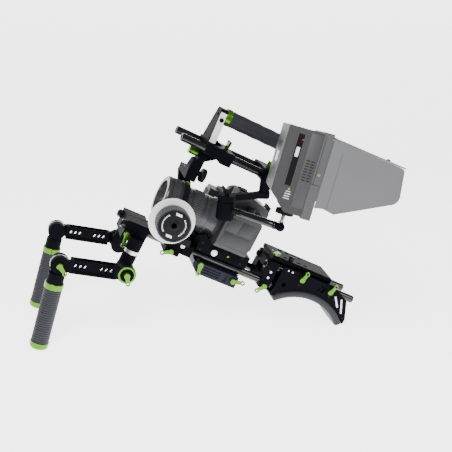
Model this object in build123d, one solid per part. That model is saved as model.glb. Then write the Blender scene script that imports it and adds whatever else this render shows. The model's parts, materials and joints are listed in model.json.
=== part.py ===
"""A shoulder camera rig on 15 mm rods: handles, follow focus, baseplate, shoulder pad, top handle,
a camera with its lens, and a monitor with a folding hood on a locking arm.

Every piece is drawn in the rods' own frame: x runs back along the rods from the front end of the
lower pair, y runs to the operator's right, z stands square off the rods. The last lines turn the
whole rig so that it stands on its two grips and on the back edge of the shoulder cushion.
"""

import os
from math import atan2, cos, degrees, radians, sin

from build123d import *

# ---- fits and clearances -------------------------------------------------------------------------
rod_fit = 0.05          # radial, between a rod and the block that clamps it
turn_fit = 0.1          # radial, between a turning stud and its bore
face_gap = 0.3          # between faces of pieces that turn on each other
seat_gap = 0.02         # between a sleeve and the tube it is pushed on

# ---- rods ----------------------------------------------------------------------------------------
rod_d = 15.0
rod_bore_d = 9.0
rod_thread_r, rod_thread_l = 5.1, 15.0    # the core of the M12 thread in every rod end
rod_gap = 60.0          # centre to centre
lower_rod_length = 320.0
rear_rod_length = 200.0
top_rod_length = 200.0
rear_rod_z = 33.0       # the shoulder rods above the lower rods
top_rod_z = 188.0       # the top rods above the lower rods
rear_rod_x = 286.0
top_rod_x = 30.0

# ---- front handles -------------------------------------------------------------------------------
mount_x0, mount_x1 = 8.0, 52.0
ear_y = 60.0            # the swivel axis of each handle, out from the middle
swivel_x = 32.0
ear_r = 14.0
ear_bottom = -30.0
swivel_ring_h = 7.0
knuckle_r = 15.0
elbow_z = -66.0         # the arm's rear pivot
grip_y = 90.0           # half of the grips' spacing
arm_length = 118.0
arm_drop_deg = 13.7     # the arm's slope, down towards the front
arm_depth = 25.0
arm_width = 22.0
tongue_w = 11.5
hub_r = 16.5
grip_rake_deg = 10.3    # the grip's lean from square to the rods
neck_r = 14.5
neck_start, collar_start = 17.5, 35.5
collar_h = 11.5
sleeve_length = 103.5
cap_h = 13.0
sleeve_r = 16.0
core_r = 9.0
trim_r = 16.8
foot_round = 6.0        # the rounding of the grip's end cap and of the cushion's back edge

# ---- follow focus --------------------------------------------------------------------------------
wheel_x, wheel_z = 67.0, 53.0
wheel_r = 31.0
wheel_h = 25.0
disc_r = 42.0
disc_t = 2.6
disc_y = -88.0          # back face of the white disc
bridge_x0, bridge_x1 = 92.0, 121.0
gear_x0, gear_x1 = 80.5, 91.5
drive_gear_r = 20.0
lens_ring_r = 43.5
mesh_gap = 0.3

# ---- camera and lens -----------------------------------------------------------------------------
lens_z = 68.0
lens_front_x = 50.0
lens_r = 39.0
lens_mid_r = 36.0
body_x0, body_x1 = 166.0, 240.0
body_left, body_right = -62.0, 84.0
body_z0, body_z1 = 33.02, 116.0
hump_z = 139.0

# ---- baseplate -----------------------------------------------------------------------------------
plate_x0, plate_x1 = 145.0, 250.0
plate_top = 33.0
lip_z = 44.0
plate_half_w = 42.0
base_x0, base_x1 = 152.0, 247.0
base_bottom = -32.0
base_half_w = 45.0

# ---- riser and shoulder pad ----------------------------------------------------------------------
riser_x0, riser_x1 = 290.0, 311.0
riser_half_w = 41.0
cheek_y = 42.5
cheek_t = 3.0
cheek_x0, cheek_x1 = 319.0, 470.0
cheek_top = 46.0
strap_slots = (((445.0, 28.0), (458.0, 11.5)), ((459.5, 27.0), (471.5, 3.0)))   # the ends of each, x and z
strap_slot_w = 4.4
arch_x, arch_r = 402.0, 112.0
arch_top = 17.0
foam_t = 15.0
foam_half_w = 50.0
arch_half_deg = 46.0
deck_x0, deck_x1 = 292.0, 424.0
saddle_front_x, saddle_rear_x, saddle_l = 352.0, 417.0, 22.0
deck_t = 9.0

# ---- top handle ----------------------------------------------------------------------------------
post_x0, post_x1 = 79.0, 92.5
post_top = 262.0
post_top_half_w = 15.0
post_foot_half_w = 30.0
grip_z = 250.0
top_grip_r = 15.0
top_sleeve_x0, top_sleeve_x1 = 104.0, 212.0
top_collar_h = 11.0
bracket_low_x0, bracket_low_x1 = 123.0, 142.5
strut_y = 56.0
strut_w = 14.0

# ---- monitor arm ---------------------------------------------------------------------------------
arm_clamp_x0, arm_clamp_x1 = 197.0, 222.0
hub_centre = (146.0, -82.0, 114.0)
hub_lean_deg = 20.8
drum_r = 16.0
drum_z0, drum_z1 = -23.0, 11.0   # the drum's ends along the hub's own axis
link_t = 11.0
link_end = (76.0, 30.0)          # the link's far pivot, square to the hub's axis
ball_rod_r = 6.5

# ---- monitor -------------------------------------------------------------------------------------
mon_at = (238.5, -158.0, 171.0)  # the middle of the case's lower edge, where the hood's frame begins
mon_pitch_deg, mon_roll_deg, mon_yaw_deg = 10.5, 5.3, -14.3
mon_w, mon_h, mon_d = 160.0, 140.0, 59.0
frame_d, frame_over = 16.0, 3.0
hood_t, hood_reach = 2.0, 126.0
stud_x = -19.0          # the stud under the case, forward of the hood's frame
ball_drop = 34.0        # the knuckle at the end of the rod, below the case
lock_wheel_r, lock_wheel_h = 15.5, 10.0

rod_r = rod_d / 2
rod_y = rod_gap / 2


# ---- shapes --------------------------------------------------------------------------------------
def block(x0, x1, y0, y1, z0, z1):
    """A box between two corners."""
    return Pos((x0 + x1) / 2, (y0 + y1) / 2, (z0 + z1) / 2) * Box(x1 - x0, y1 - y0, z1 - z0)


def bar_x(r, x0, x1, y=0.0, z=0.0):
    """A round bar along x."""
    return Pos((x0 + x1) / 2, y, z) * Rot(0, 90, 0) * Cylinder(r, x1 - x0)


def bar_y(r, y0, y1, x, z):
    """A round bar along y."""
    return Pos(x, (y0 + y1) / 2, z) * Rot(90, 0, 0) * Cylinder(r, y1 - y0)


def bar_z(r, z0, z1, x, y):
    """A round bar along z."""
    return Pos(x, y, (z0 + z1) / 2) * Cylinder(r, z1 - z0)


def slab(points, y0, y1):
    """An outline in x and z, as thick as y0 to y1."""
    outline = Polyline(*[(x, y0, z) for x, z in points], close=True)
    return extrude(make_face(outline), amount=y1 - y0, dir=(0, 1, 0))


def eased(shape, size, axis=None):
    """The shape with its edges along an axis, or all its edges, chamfered."""
    edges = shape.edges().filter_by(axis) if axis else shape.edges()
    return chamfer(edges, size)


def rod_bores(shape, z, x0, x1):
    """The shape with the two rods' bores through it."""
    for side in (-1, 1):
        shape -= bar_x(rod_r + rod_fit, x0 - 1, x1 + 1, side * rod_y, z)
    return shape


def rod_pair(x0, length, z):
    """Two tubes side by side with chamfered ends, each end bored for its thread."""
    tubes = []
    x1 = x0 + length
    for side in (-1, 1):
        tube = bar_x(rod_r, x0, x1, side * rod_y, z)
        tube = chamfer(tube.edges().filter_by(GeomType.CIRCLE), 0.8)
        tube -= bar_x(rod_bore_d / 2, x0 - 1, x1 + 1, side * rod_y, z)
        tube -= bar_x(rod_thread_r, x0 - 1, x0 + rod_thread_l, side * rod_y, z)
        tube -= bar_x(rod_thread_r, x1 - rod_thread_l, x1 + 1, side * rod_y, z)
        tubes.append(tube)
    return tubes[0] + tubes[1]


def span(side, y0, y1):
    """The two ends of a stretch across the rig, measured outwards on one side."""
    return min(side * y0, side * y1), max(side * y0, side * y1)


stud_r, stud_depth = 2.6, 8.0
lever_hub_r, lever_hub_h = 5.6, 6.0
eye_r, eye_hole_r = 4.4, 2.3


def clamp_lever(reach):
    """A cam lever on its stud: z is the stud's axis, and the eye is out along x."""
    hub = Pos(0, 0, face_gap + lever_hub_h / 2) * Cylinder(lever_hub_r, lever_hub_h)
    hub = chamfer(hub.edges().filter_by(GeomType.CIRCLE).sort_by(Axis.Z)[-1], 0.8)
    web = make_face(Polyline((0, -4.6), (reach, -2.6), (reach, 2.6), (0, 4.6), close=True))
    bar = Pos(0, 0, 2.2) * extrude(web, amount=3.4)
    eye = Pos(reach, 0, 3.9) * Cylinder(eye_r, 3.4)
    stud = Pos(0, 0, (face_gap - stud_depth) / 2) * Cylinder(stud_r, stud_depth + face_gap)
    return hub + bar + eye - Pos(reach, 0, 4) * Cylinder(eye_hole_r, 8) + stud


def thumb_knob(r, h, depth=stud_depth):
    """A round knob on its stud, the stud along z."""
    head = Pos(0, 0, face_gap + h / 2) * Cylinder(r, h)
    head = chamfer(head.edges().filter_by(GeomType.CIRCLE), min(1.0, h / 5))
    stud = Pos(0, 0, (face_gap - depth) / 2) * Cylinder(stud_r, depth + face_gap)
    return head + stud


def star_knob(r, h, depth=stud_depth):
    """A wing knob: a hub with two wings, on its stud."""
    hub = Pos(0, 0, face_gap + h * 0.25) * Cylinder(r * 0.42, h * 0.5)
    wing = make_face(Polyline((-r, h), (-r * 0.62, 0.2 * h), (r * 0.62, 0.2 * h), (r, h),
                              (r * 0.7, h * 1.05), (0, h * 0.55), (-r * 0.7, h * 1.05), close=True))
    wing = Pos(0, 2.5, face_gap) * Rot(90, 0, 0) * extrude(wing, amount=5.0)
    stud = Pos(0, 0, (face_gap - depth) / 2) * Cylinder(stud_r, depth + face_gap)
    return hub + wing + stud


def seat(origin, x_dir, z_dir):
    """The place of a fastener: its axis out along z_dir, its lever along x_dir."""
    return Plane(origin=origin, x_dir=x_dir, z_dir=z_dir).location


def stud_hole(place, depth=stud_depth):
    """The hole that a fastener's stud turns in."""
    return place * Pos(0, 0, -(depth + face_gap) / 2 + 0.5) * Cylinder(stud_r + turn_fit, depth + 1.6)


nodes = {}


# ---- rods ----------------------------------------------------------------------------------------
nodes["lower_rods"] = rod_pair(0.0, lower_rod_length, 0.0)
nodes["rear_rods"] = rod_pair(rear_rod_x, rear_rod_length, rear_rod_z)
nodes["top_rods"] = rod_pair(top_rod_x, top_rod_length, top_rod_z)


# ---- handle mount --------------------------------------------------------------------------------
mount_half_w = rod_y + rod_r + 3.5
mount_lever_at = seat((mount_x0 + 7.5, -mount_half_w, -13.0), (0.12, 0, -1), (0, -1, 0))


def make_handle_mount():
    """The block on the front of the lower rods, with an ear at each side for a handle."""
    bridge = eased(block(mount_x0, mount_x1, -mount_half_w, mount_half_w, -11.5, 11.5), 2.0, Axis.X)
    keel = eased(block(mount_x0, mount_x1, -mount_half_w, mount_half_w, -24.0, -11.5), 1.5, Axis.Z)
    body = bridge + keel
    for side in (-1, 1):
        ear = bar_z(ear_r, ear_bottom, -8.0, swivel_x, side * ear_y)
        arm = block(swivel_x - 8, swivel_x + 11, *span(side, 38.0, ear_y), ear_bottom + 6, -9.0)
        spigot = bar_z(5.0, elbow_z + 12, ear_bottom + 1, swivel_x, side * ear_y)
        body += ear + arm + spigot
    body = rod_bores(body, 0.0, mount_x0, mount_x1)
    body -= block(mount_x0 - 1, mount_x1 + 1, -1.2, 1.2, 2.0, 12.5)
    return body - stud_hole(mount_lever_at)


nodes["handle_mount"] = make_handle_mount()
nodes["handle_mount_lever"] = mount_lever_at * clamp_lever(22.0)


def make_swivel_rings():
    """The bright spacer ring on each ear's spigot."""
    rings = []
    for side in (-1, 1):
        ring = bar_z(ear_r - 1.0, ear_bottom - swivel_ring_h, ear_bottom, swivel_x, side * ear_y)
        rings.append(ring - bar_z(5.0 + seat_gap, ear_bottom - 20, ear_bottom + 2, swivel_x, side * ear_y))
    return Compound(children=rings)


nodes["swivel_rings"] = make_swivel_rings()

# ---- arms and grips ------------------------------------------------------------------------------
drop, rake = radians(arm_drop_deg), radians(grip_rake_deg)
elbow = (swivel_x + 2.0, elbow_z)
wrist = (elbow[0] - arm_length * cos(drop), elbow[1] - arm_length * sin(drop))
knuckle_top = ear_bottom - swivel_ring_h - face_gap
tongue_inner = grip_y - tongue_w
tongue_outer = grip_y + tongue_w


def make_knuckle(side):
    """The swivelling knuckle between the mount's ear and the arm."""
    barrel = bar_z(ear_r - 0.5, elbow_z, knuckle_top, swivel_x, side * ear_y)
    hub = bar_y(knuckle_r, *span(side, ear_y - 9, grip_y - face_gap), elbow[0], elbow[1])
    body = barrel + hub
    body -= bar_z(5.0 + turn_fit, elbow_z + 11, knuckle_top + 1, swivel_x, side * ear_y)
    return body - bar_y(stud_r + turn_fit, *span(side, grip_y - 9, grip_y + 1), elbow[0], elbow[1])


diamond_l, diamond_h = 3.4, 5.4


def diamond(x, z, half_w):
    """A milled diamond window through an arm."""
    points = [(x - diamond_l, z), (x, z + diamond_h), (x + diamond_l, z), (x, z - diamond_h)]
    return slab(points, -half_w, half_w)


def make_arm(side):
    """A handle arm: two tongues and a milled box beam, drawn along x and then sloped."""
    half = arm_depth / 2
    beam = block(-arm_length + hub_r + 1.5, -hub_r - 1.5, -arm_width / 2, arm_width / 2, -half, half)
    beam = eased(beam, 1.5, Axis.X)
    for face in (-1, 1):
        pocket = block(-arm_length + hub_r + 6, -hub_r - 6, -3.4, 3.4, -half + 4, half - 4)
        beam -= Pos(0, face * arm_width / 2, 0) * pocket
    top_pocket = block(-arm_length + hub_r + 6, -hub_r - 6, -arm_width / 2 + 4, arm_width / 2 - 4, -3, 3)
    beam -= Pos(0, 0, half) * top_pocket
    middle = -arm_length / 2
    for step in (1, 2, 3):
        for way in (-1, 1):
            beam -= diamond(middle + way * (6.0 + 8.5 * step), 0, arm_width)
    tongues = None
    for x in (0.0, -arm_length):
        disc = bar_y(hub_r, *span(side, 0.0, tongue_w), x, 0.0)
        root = block(x - hub_r - 3 if x == 0.0 else x, x if x == 0.0 else x + hub_r + 3,
                     *span(side, 0.0, tongue_w), -half + 2, half - 2)
        tongues = disc + root if tongues is None else tongues + disc + root
    body = beam + tongues
    for x in (0.0, -arm_length):
        body -= bar_y(hub_r + 1.0, *span(side, -arm_width, -0.0), x, 0.0)
        body -= bar_y(stud_r + turn_fit, *span(side, -1, tongue_w + 1), x, 0.0)
    return Pos(elbow[0], side * grip_y, elbow[1]) * Rot(0, -arm_drop_deg, 0) * body


def make_hinge_lever(side, at, reach, aim):
    """A cam lever through an arm's tongue into the piece inside it."""
    place = seat((at[0], side * tongue_outer, at[1]), (cos(aim), 0, sin(aim)), (0, side, 0))
    shaft = Pos(0, 0, -(tongue_w + 7.5) / 2) * Cylinder(stud_r, tongue_w + 7.5)
    return place * (clamp_lever(reach) + shaft)


def along_grip(side, shape):
    """A piece drawn down from the wrist along minus z, put on the grip's own axis."""
    return Pos(wrist[0], side * grip_y, wrist[1]) * Rot(0, -grip_rake_deg, 0) * shape


collar_end = collar_start + collar_h
sleeve_end = collar_end + sleeve_length
grip_end = sleeve_end + cap_h


def make_grip_head(side):
    """The hub, the neck and the core tube that the sleeve is pushed on."""
    hub = bar_y(hub_r, *span(side, -tongue_w, -face_gap), 0.0, 0.0)
    cheek = block(-neck_r + 2, neck_r - 2, *span(side, -tongue_w, -face_gap), -neck_start - 4, 0.0)
    neck = bar_z(neck_r, -collar_start, -neck_start, 0.0, 0.0)
    core = bar_z(core_r, -grip_end + 5.0, -collar_start + 1, 0.0, 0.0)
    body = hub + cheek + neck + core
    return along_grip(side, body - bar_y(stud_r + turn_fit, *span(side, -9, 1), 0.0, 0.0))


def make_grip_trim(side):
    """The green collar above the sleeve and the rounded end cap below it."""
    collar = bar_z(trim_r, -collar_end, -collar_start, 0.0, 0.0)
    collar = chamfer(collar.edges().filter_by(GeomType.CIRCLE), 0.8)
    collar -= bar_z(core_r + seat_gap, -collar_end - 1, -collar_start + 1, 0.0, 0.0)
    cap = bar_z(trim_r, -grip_end, -sleeve_end, 0.0, 0.0)
    cap = fillet(cap.edges().filter_by(GeomType.CIRCLE).sort_by(Axis.Z)[0], foot_round)
    cap -= bar_z(core_r + seat_gap, -grip_end + 5.0 - seat_gap, -sleeve_end + 1, 0.0, 0.0)
    return along_grip(side, Compound(children=[collar, cap]))


def make_grip_sleeve(side):
    """The rubber sleeve."""
    sleeve = bar_z(sleeve_r, -sleeve_end, -collar_end, 0.0, 0.0)
    return along_grip(side, sleeve - bar_z(core_r + seat_gap, -sleeve_end - 1, -collar_end + 1, 0.0, 0.0))


for side, name in ((-1, "left"), (1, "right")):
    nodes[f"knuckle_{name}"] = make_knuckle(side)
    nodes[f"arm_{name}"] = make_arm(side)
    nodes[f"arm_lever_{name}"] = make_hinge_lever(side, elbow, 15.0, radians(-60))
    nodes[f"grip_head_{name}"] = make_grip_head(side)
    nodes[f"grip_lever_{name}"] = make_hinge_lever(side, wrist, 16.0, radians(-35))
    nodes[f"grip_trim_{name}"] = make_grip_trim(side)
    nodes[f"grip_sleeve_{name}"] = make_grip_sleeve(side)


# ---- follow focus --------------------------------------------------------------------------------
drive_y = -((lens_ring_r + drive_gear_r + mesh_gap) ** 2 - (lens_z - wheel_z) ** 2) ** 0.5
housing_y0 = disc_y + 1.0 + face_gap     # the outer face of the gearbox's round flange
focus_lever_at = seat(((bridge_x0 + bridge_x1) / 2 - 3, -rod_y - rod_r - 4.0, -11.5), (-0.9, 0, -0.5),
                      (0, -1, 0))


def make_focus_bridge():
    """The rod clamp and the cross bar that carry the gearbox."""
    half_w = rod_y + rod_r + 4.0
    body = eased(block(bridge_x0, bridge_x1, -half_w, half_w, -18.0, 11.0), 2.0, Axis.X)
    body += block(bridge_x0 + 4, bridge_x1 - 4, -half_w - 30, half_w, 11.0, 17.0)
    body = rod_bores(body, 0.0, bridge_x0, bridge_x1)
    return body - stud_hole(focus_lever_at)


def make_focus_gearbox():
    """The right-angle gearbox: a foot on the cross bar and a round-faced housing."""
    foot = block(bridge_x0 + 1, bridge_x1 - 1, -78.0, -46.0, 17.0, 29.0)
    web = block(wheel_x - 17, bridge_x0 + 3, -78.0, -50.0, 17.0, 31.0)
    case = eased(block(wheel_x - 18, gear_x0 - 2, housing_y0 + 1, -48.0, 20.0, 74.0), 3.0, Axis.Y)
    flange = bar_y(36.0, housing_y0, housing_y0 + 4.2, wheel_x, wheel_z)
    body = foot + web + case + flange
    body -= bar_y(5.0 + turn_fit, housing_y0 - 1, -58.0, wheel_x, wheel_z)
    return body - bar_x(4.0 + turn_fit, gear_x0 - 7.5, gear_x0, drive_y, wheel_z)


def make_marking_disc():
    """The white disc behind the wheel."""
    disc = bar_y(disc_r, disc_y - disc_t, disc_y, wheel_x, wheel_z)
    return disc - bar_y(12.0 + turn_fit, disc_y - disc_t - 1, disc_y + 1, wheel_x, wheel_z)


def make_handwheel():
    """The wheel with its dished face, square socket and spindle."""
    back = disc_y - disc_t - face_gap
    rim = bar_y(wheel_r, back - wheel_h, back, wheel_x, wheel_z)
    rim = chamfer(rim.edges().filter_by(GeomType.CIRCLE), 1.2)
    rim -= bar_y(wheel_r - 4, back - wheel_h - 1, back - wheel_h + 2.5, wheel_x, wheel_z)
    boss = bar_y(9.0, back - wheel_h, back - wheel_h + 3, wheel_x, wheel_z)
    hub = bar_y(12.0, back - 1, disc_y, wheel_x, wheel_z)
    spindle = bar_y(5.0, back - 1, -60.0, wheel_x, wheel_z)
    socket = block(wheel_x - 3.5, wheel_x + 3.5, back - wheel_h - 1, back - wheel_h + 8,
                   wheel_z - 3.5, wheel_z + 3.5)
    return rim + boss + hub + spindle - socket


def make_drive_gear():
    """The gear on the gearbox's output shaft."""
    gear = bar_x(drive_gear_r, gear_x0, gear_x1, drive_y, wheel_z)
    gear += bar_x(4.0, gear_x0 - 6, gear_x0, drive_y, wheel_z)
    return gear + bar_x(7.0, gear_x1, gear_x1 + 2, drive_y, wheel_z)


nodes["focus_bridge"] = make_focus_bridge()
nodes["focus_bridge_lever"] = focus_lever_at * clamp_lever(16.0)
nodes["focus_gearbox"] = make_focus_gearbox()
nodes["marking_disc"] = make_marking_disc()
nodes["handwheel"] = make_handwheel()
nodes["drive_gear"] = make_drive_gear()


# ---- lens and camera -----------------------------------------------------------------------------
def lens_of(profile):
    """A turned piece on the lens axis, from its outline in x and radius."""
    outline = Polyline(*[(x, 0, r) for x, r in profile], close=True)
    return Pos(0, 0, lens_z) * revolve(make_face(outline), Axis.X, 360)


def make_lens():
    """The lens, with a deep front recess and a seat for the gear ring."""
    seat_r = lens_ring_r - 4.0
    return lens_of([
        (lens_front_x, 30.0), (lens_front_x, lens_r), (lens_front_x + 3, lens_r + 1.5),
        (lens_front_x + 26, lens_r + 1.5), (lens_front_x + 28, seat_r - face_gap),
        (gear_x1 + 2, seat_r - face_gap), (gear_x1 + 4, lens_mid_r + 1),
        (gear_x1 + 22, lens_mid_r), (body_x0 - 22, lens_mid_r), (body_x0 - 17, lens_mid_r + 2.5),
        (body_x0, lens_mid_r + 2.5), (body_x0, 0.0), (lens_front_x + 20, 0.0), (lens_front_x + 18, 20.0),
    ])


def make_lens_ring():
    """The toothed ring round the lens."""
    ring = bar_x(lens_ring_r, gear_x0, gear_x1, 0.0, lens_z)
    return ring - bar_x(lens_ring_r - 4.0, gear_x0 - 1, gear_x1 + 1, 0.0, lens_z)


shutter_x, shutter_y = body_x0 + 6.0, body_right - 18.0
shutter_r, shutter_travel = 5.0, 2.0


def make_camera():
    """The camera's body: a shell-like block with a hump, a hand grip and an eyepiece."""
    body = block(body_x0, body_x1 - 8, body_left, body_right, body_z0, body_z1)
    body = fillet(body.edges().filter_by(Axis.X), 9.0)
    screen = eased(block(body_x1 - 8, body_x1, body_left + 14, body_right - 30, body_z0 + 12, body_z1 - 16),
                   3.0, Axis.X)
    hand_grip = block(body_x0 - 20, body_x0 + 14, body_right - 40, body_right, body_z0 + 3, body_z1 - 6)
    hand_grip = fillet(hand_grip.edges().filter_by(Axis.Z), 9.0)
    hump_points = [(body_x0 - 1, body_z1 - 6), (body_x0 + 2, hump_z - 8), (body_x0 + 12, hump_z),
                   (body_x0 + 34, hump_z), (body_x1 + 4, hump_z - 12), (body_x1 + 8, hump_z - 18),
                   (body_x1 + 8, body_z1 - 14), (body_x1 - 9, body_z1 - 14)]
    hump = slab(hump_points, -27.0, 27.0)
    hump = chamfer(hump.edges().filter_by(Axis.X), 5.0)
    mount = bar_x(lens_mid_r + 4.5, body_x0 - 5, body_x0 + 4, 0.0, lens_z)
    mount -= bar_x(lens_mid_r + 2.5 + seat_gap, body_x0 - 6, body_x0, 0.0, lens_z)
    body = body + screen + hand_grip + hump + mount
    body -= bar_z(shutter_r + turn_fit, body_z1 - 8, body_z1 + 10, shutter_x, shutter_y)
    return body


def make_shutter():
    """The shutter button in its well."""
    button = bar_z(shutter_r, body_z1 - 8 + shutter_travel + 0.5, body_z1 + 2.2, shutter_x, shutter_y)
    return fillet(button.edges().filter_by(GeomType.CIRCLE).sort_by(Axis.Z)[-1], 0.8)


nodes["camera_lens"] = make_lens()
nodes["lens_gear_ring"] = make_lens_ring()
nodes["camera_body"] = make_camera()
nodes["shutter_button"] = make_shutter()

# ---- baseplate -----------------------------------------------------------------------------------
base_lever_at = seat((base_x0 + 14, -base_half_w, -13.0), (0.1, 0, -1), (0, -1, 0))
lock_lever_at = seat((base_x1 - 9, -base_half_w, -19.0), (1, 0, 0.2), (0, -1, 0))


tripod_holes = ((185.0, 2.6, 10.0), (210.0, 4.0, 12.0))   # 1/4-20 and 3/8-16: x, core radius, depth


def make_camera_plate():
    """The upper half of the baseplate, with a lip in front of the camera's foot."""
    outline = [(plate_x0, 9.0), (plate_x0, lip_z - 4), (plate_x0 + 5, lip_z), (body_x0 - 3, plate_top + 2),
               (body_x0 - 3, plate_top), (plate_x1, plate_top), (plate_x1, 9.0)]
    deck = slab(outline, -plate_half_w, plate_half_w)
    body = deck + block(plate_x0, plate_x1, -rod_y + 1, rod_y - 1, 0.8, 9.0)
    body -= bar_x(lens_mid_r + 6.0, plate_x0 - 1, body_x0 + 5, 0.0, lens_z)
    return rod_bores(body, 0.0, plate_x0, plate_x1)


def make_base_block():
    """The lower half of the baseplate, a milled box with slots in its sides."""
    body = slab([(base_x0, -10.0), (base_x0, base_bottom + 13), (base_x0 + 14, base_bottom),
                 (base_x1, base_bottom), (base_x1, -10.0)], -base_half_w, base_half_w)
    body += block(base_x0, base_x1, -rod_y + 1, rod_y - 1, -10.0, -0.8)
    body = rod_bores(body, 0.0, base_x0, base_x1)
    for face in (-1, 1):
        for row in range(3):
            z = base_bottom + 6.0 + 5.0 * row
            body -= block(base_x0 + 24, base_x0 + 58, face * base_half_w - 2.5, face * base_half_w + 2.5,
                          z, z + 2.6)
        body -= block(base_x0 + 66, base_x0 + 73, face * base_half_w - 2.5, face * base_half_w + 2.5,
                      base_bottom + 5, -13.0)
    for x, r, depth in tripod_holes:
        body -= bar_z(r, base_bottom - 1, base_bottom + depth, x, 0.0)
    return body - stud_hole(base_lever_at) - stud_hole(lock_lever_at)


nodes["camera_plate"] = make_camera_plate()
nodes["base_block"] = make_base_block()
nodes["base_lever"] = base_lever_at * clamp_lever(17.0)
nodes["base_lock_lever"] = lock_lever_at * clamp_lever(19.0)

# ---- riser ---------------------------------------------------------------------------------------
riser_top = rear_rod_z + rod_r + 3.5
riser_lever_at = seat(((riser_x0 + riser_x1) / 2, -riser_half_w, -6.0), (-0.6, 0, -0.8), (0, -1, 0))


def make_riser():
    """The block that lifts the shoulder rods above the lower rods."""
    body = slab([(riser_x0, -11.5), (riser_x0, riser_top - 3), (riser_x0 + 3, riser_top),
                 (riser_x1 - 3, riser_top), (riser_x1, riser_top - 3), (riser_x1, -11.5)],
                -riser_half_w, riser_half_w)
    body -= block(riser_x0 - 1, riser_x1 + 1, -17.0, 17.0, 10.0, 24.0)
    body = rod_bores(body, 0.0, riser_x0, riser_x1)
    body = rod_bores(body, rear_rod_z, riser_x0, riser_x1)
    return body - stud_hole(riser_lever_at, 3.0)


nodes["riser_block"] = make_riser()
short_lever = clamp_lever(16.0) - Pos(0, 0, -3 - stud_depth / 2) * Cylinder(stud_r + 1, stud_depth)
nodes["riser_lever"] = riser_lever_at * short_lever

# ---- shoulder pad --------------------------------------------------------------------------------
arch_z = arch_top - arch_r
foam_r = arch_r - foam_t


def arch_point(r, angle_deg):
    """A point on a circle about the arch's centre, the angle measured from straight up."""
    return arch_x + r * sin(radians(angle_deg)), arch_z + r * cos(radians(angle_deg))


def arch_band(r_in, r_out, y0, y1):
    """A curved band over the shoulder, between two radii."""
    a = arch_half_deg
    inner = ThreePointArc(*[(x, y0, z) for x, z in (arch_point(r_in, turn) for turn in (-a, 0, a))])
    outer = ThreePointArc(*[(x, y0, z) for x, z in (arch_point(r_out, turn) for turn in (a, 0, -a))])
    ends = [Line(inner @ 1, outer @ 0), Line(outer @ 1, inner @ 0)]
    return extrude(make_face([inner, ends[0], outer, ends[1]]), amount=y1 - y0, dir=(0, 1, 0))


def round_slot(start, end, r, y0, y1):
    """A slot with round ends between two points in x and z, to cut across the rig."""
    run = ((end[0] - start[0]) ** 2 + (end[1] - start[1]) ** 2) ** 0.5
    side_x, side_z = -(end[1] - start[1]) / run * r, (end[0] - start[0]) / run * r
    middle = slab([(start[0] + side_x, start[1] + side_z), (end[0] + side_x, end[1] + side_z),
                   (end[0] - side_x, end[1] - side_z), (start[0] - side_x, start[1] - side_z)], y0, y1)
    return middle + bar_y(r, y0, y1, *start) + bar_y(r, y0, y1, *end)


def make_shoulder_frame():
    """Two cheeks joined by a curved sheet that the cushion is glued to."""
    low_z = arch_point(arch_r, arch_half_deg)[1]
    body = None
    for side in (-1, 1):
        y0, y1 = span(side, cheek_y, cheek_y + cheek_t)
        cheek = slab([(cheek_x0, cheek_top), (cheek_x1 - 34, cheek_top), (cheek_x1, cheek_top - 17),
                      (cheek_x1 + 16, -6.0), (cheek_x1 + 16, low_z), (cheek_x0, low_z)], y0, y1)
        cheek -= bar_y(arch_r, y0 - 1, y1 + 1, arch_x, arch_z)
        cheek -= bar_y(4.5, y0 - 1, y1 + 1, cheek_x0 + 16, 12.0)
        for slot in range(2):
            start = cheek_x0 + 82 + 9 * slot
            cheek -= slab([(start, 25.0), (start + 3.4, 25.0), (start + 9, 38.0), (start + 5.6, 38.0)],
                          y0 - 1, y1 + 1)
        for start, end in strap_slots:
            cheek -= round_slot(start, end, strap_slot_w / 2, y0 - 1, y1 + 1)
        body = cheek if body is None else body + cheek
    return body + arch_band(arch_r, arch_r + 3.0, -cheek_y, cheek_y)


def make_cushion():
    """The foam cushion, a thick arch with rounded ends."""
    pad = arch_band(foam_r, arch_r - seat_gap, -foam_half_w, foam_half_w)
    ends = [e for e in pad.edges().filter_by(Axis.Y) if abs(e.length - 2 * foam_half_w) < 0.1]
    low = sorted(ends, key=lambda e: (e.center() - Vector(arch_x, 0, arch_z)).length)[:2]
    return fillet(low, foot_round)


cheek_face = cheek_y + cheek_t
deck_lever_front_at = seat((saddle_front_x + saddle_l / 2, -cheek_face, 35.0), (0.25, 0, 1), (0, -1, 0))
deck_lever_rear_at = seat((saddle_rear_x + saddle_l / 2, -cheek_face, 34.0), (0.35, 0, 1), (0, -1, 0))
deck_lock_at = seat((deck_x0 + 9, -28.0, cheek_top + 1 + deck_t), (-0.6, -0.8, 0), (0, 0, 1))


def make_shoulder_deck():
    """The rail plate on top of the pad, with two blocks that clamp the shoulder rods."""
    body = block(deck_x0, deck_x1, -36.0, 36.0, cheek_top + 1, cheek_top + 1 + deck_t)
    body = eased(body, 2.0, Axis.X)
    for step in range(4):
        x = deck_x0 + 26 + 15 * step
        for y in (-20.0, 20.0):
            body -= block(x, x + 8, y - 4, y + 4, cheek_top - 1, cheek_top + 12)
    for x in (saddle_front_x, saddle_rear_x):
        body += block(x, x + saddle_l, -cheek_y, cheek_y, rear_rod_z - rod_r - 3.5, cheek_top + 1)
    body = rod_bores(body, rear_rod_z, deck_x0, saddle_rear_x + saddle_l)
    for place in (deck_lever_front_at, deck_lever_rear_at, deck_lock_at):
        body -= stud_hole(place)
    return body


frame_holes = stud_hole(deck_lever_front_at) + stud_hole(deck_lever_rear_at)
nodes["shoulder_frame"] = make_shoulder_frame() - frame_holes
nodes["shoulder_cushion"] = make_cushion()
nodes["shoulder_deck"] = make_shoulder_deck()
nodes["deck_lock_lever"] = deck_lock_at * clamp_lever(15.0)
nodes["deck_lever_front"] = deck_lever_front_at * clamp_lever(15.0)
nodes["deck_lever_rear"] = deck_lever_rear_at * clamp_lever(15.0)

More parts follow.
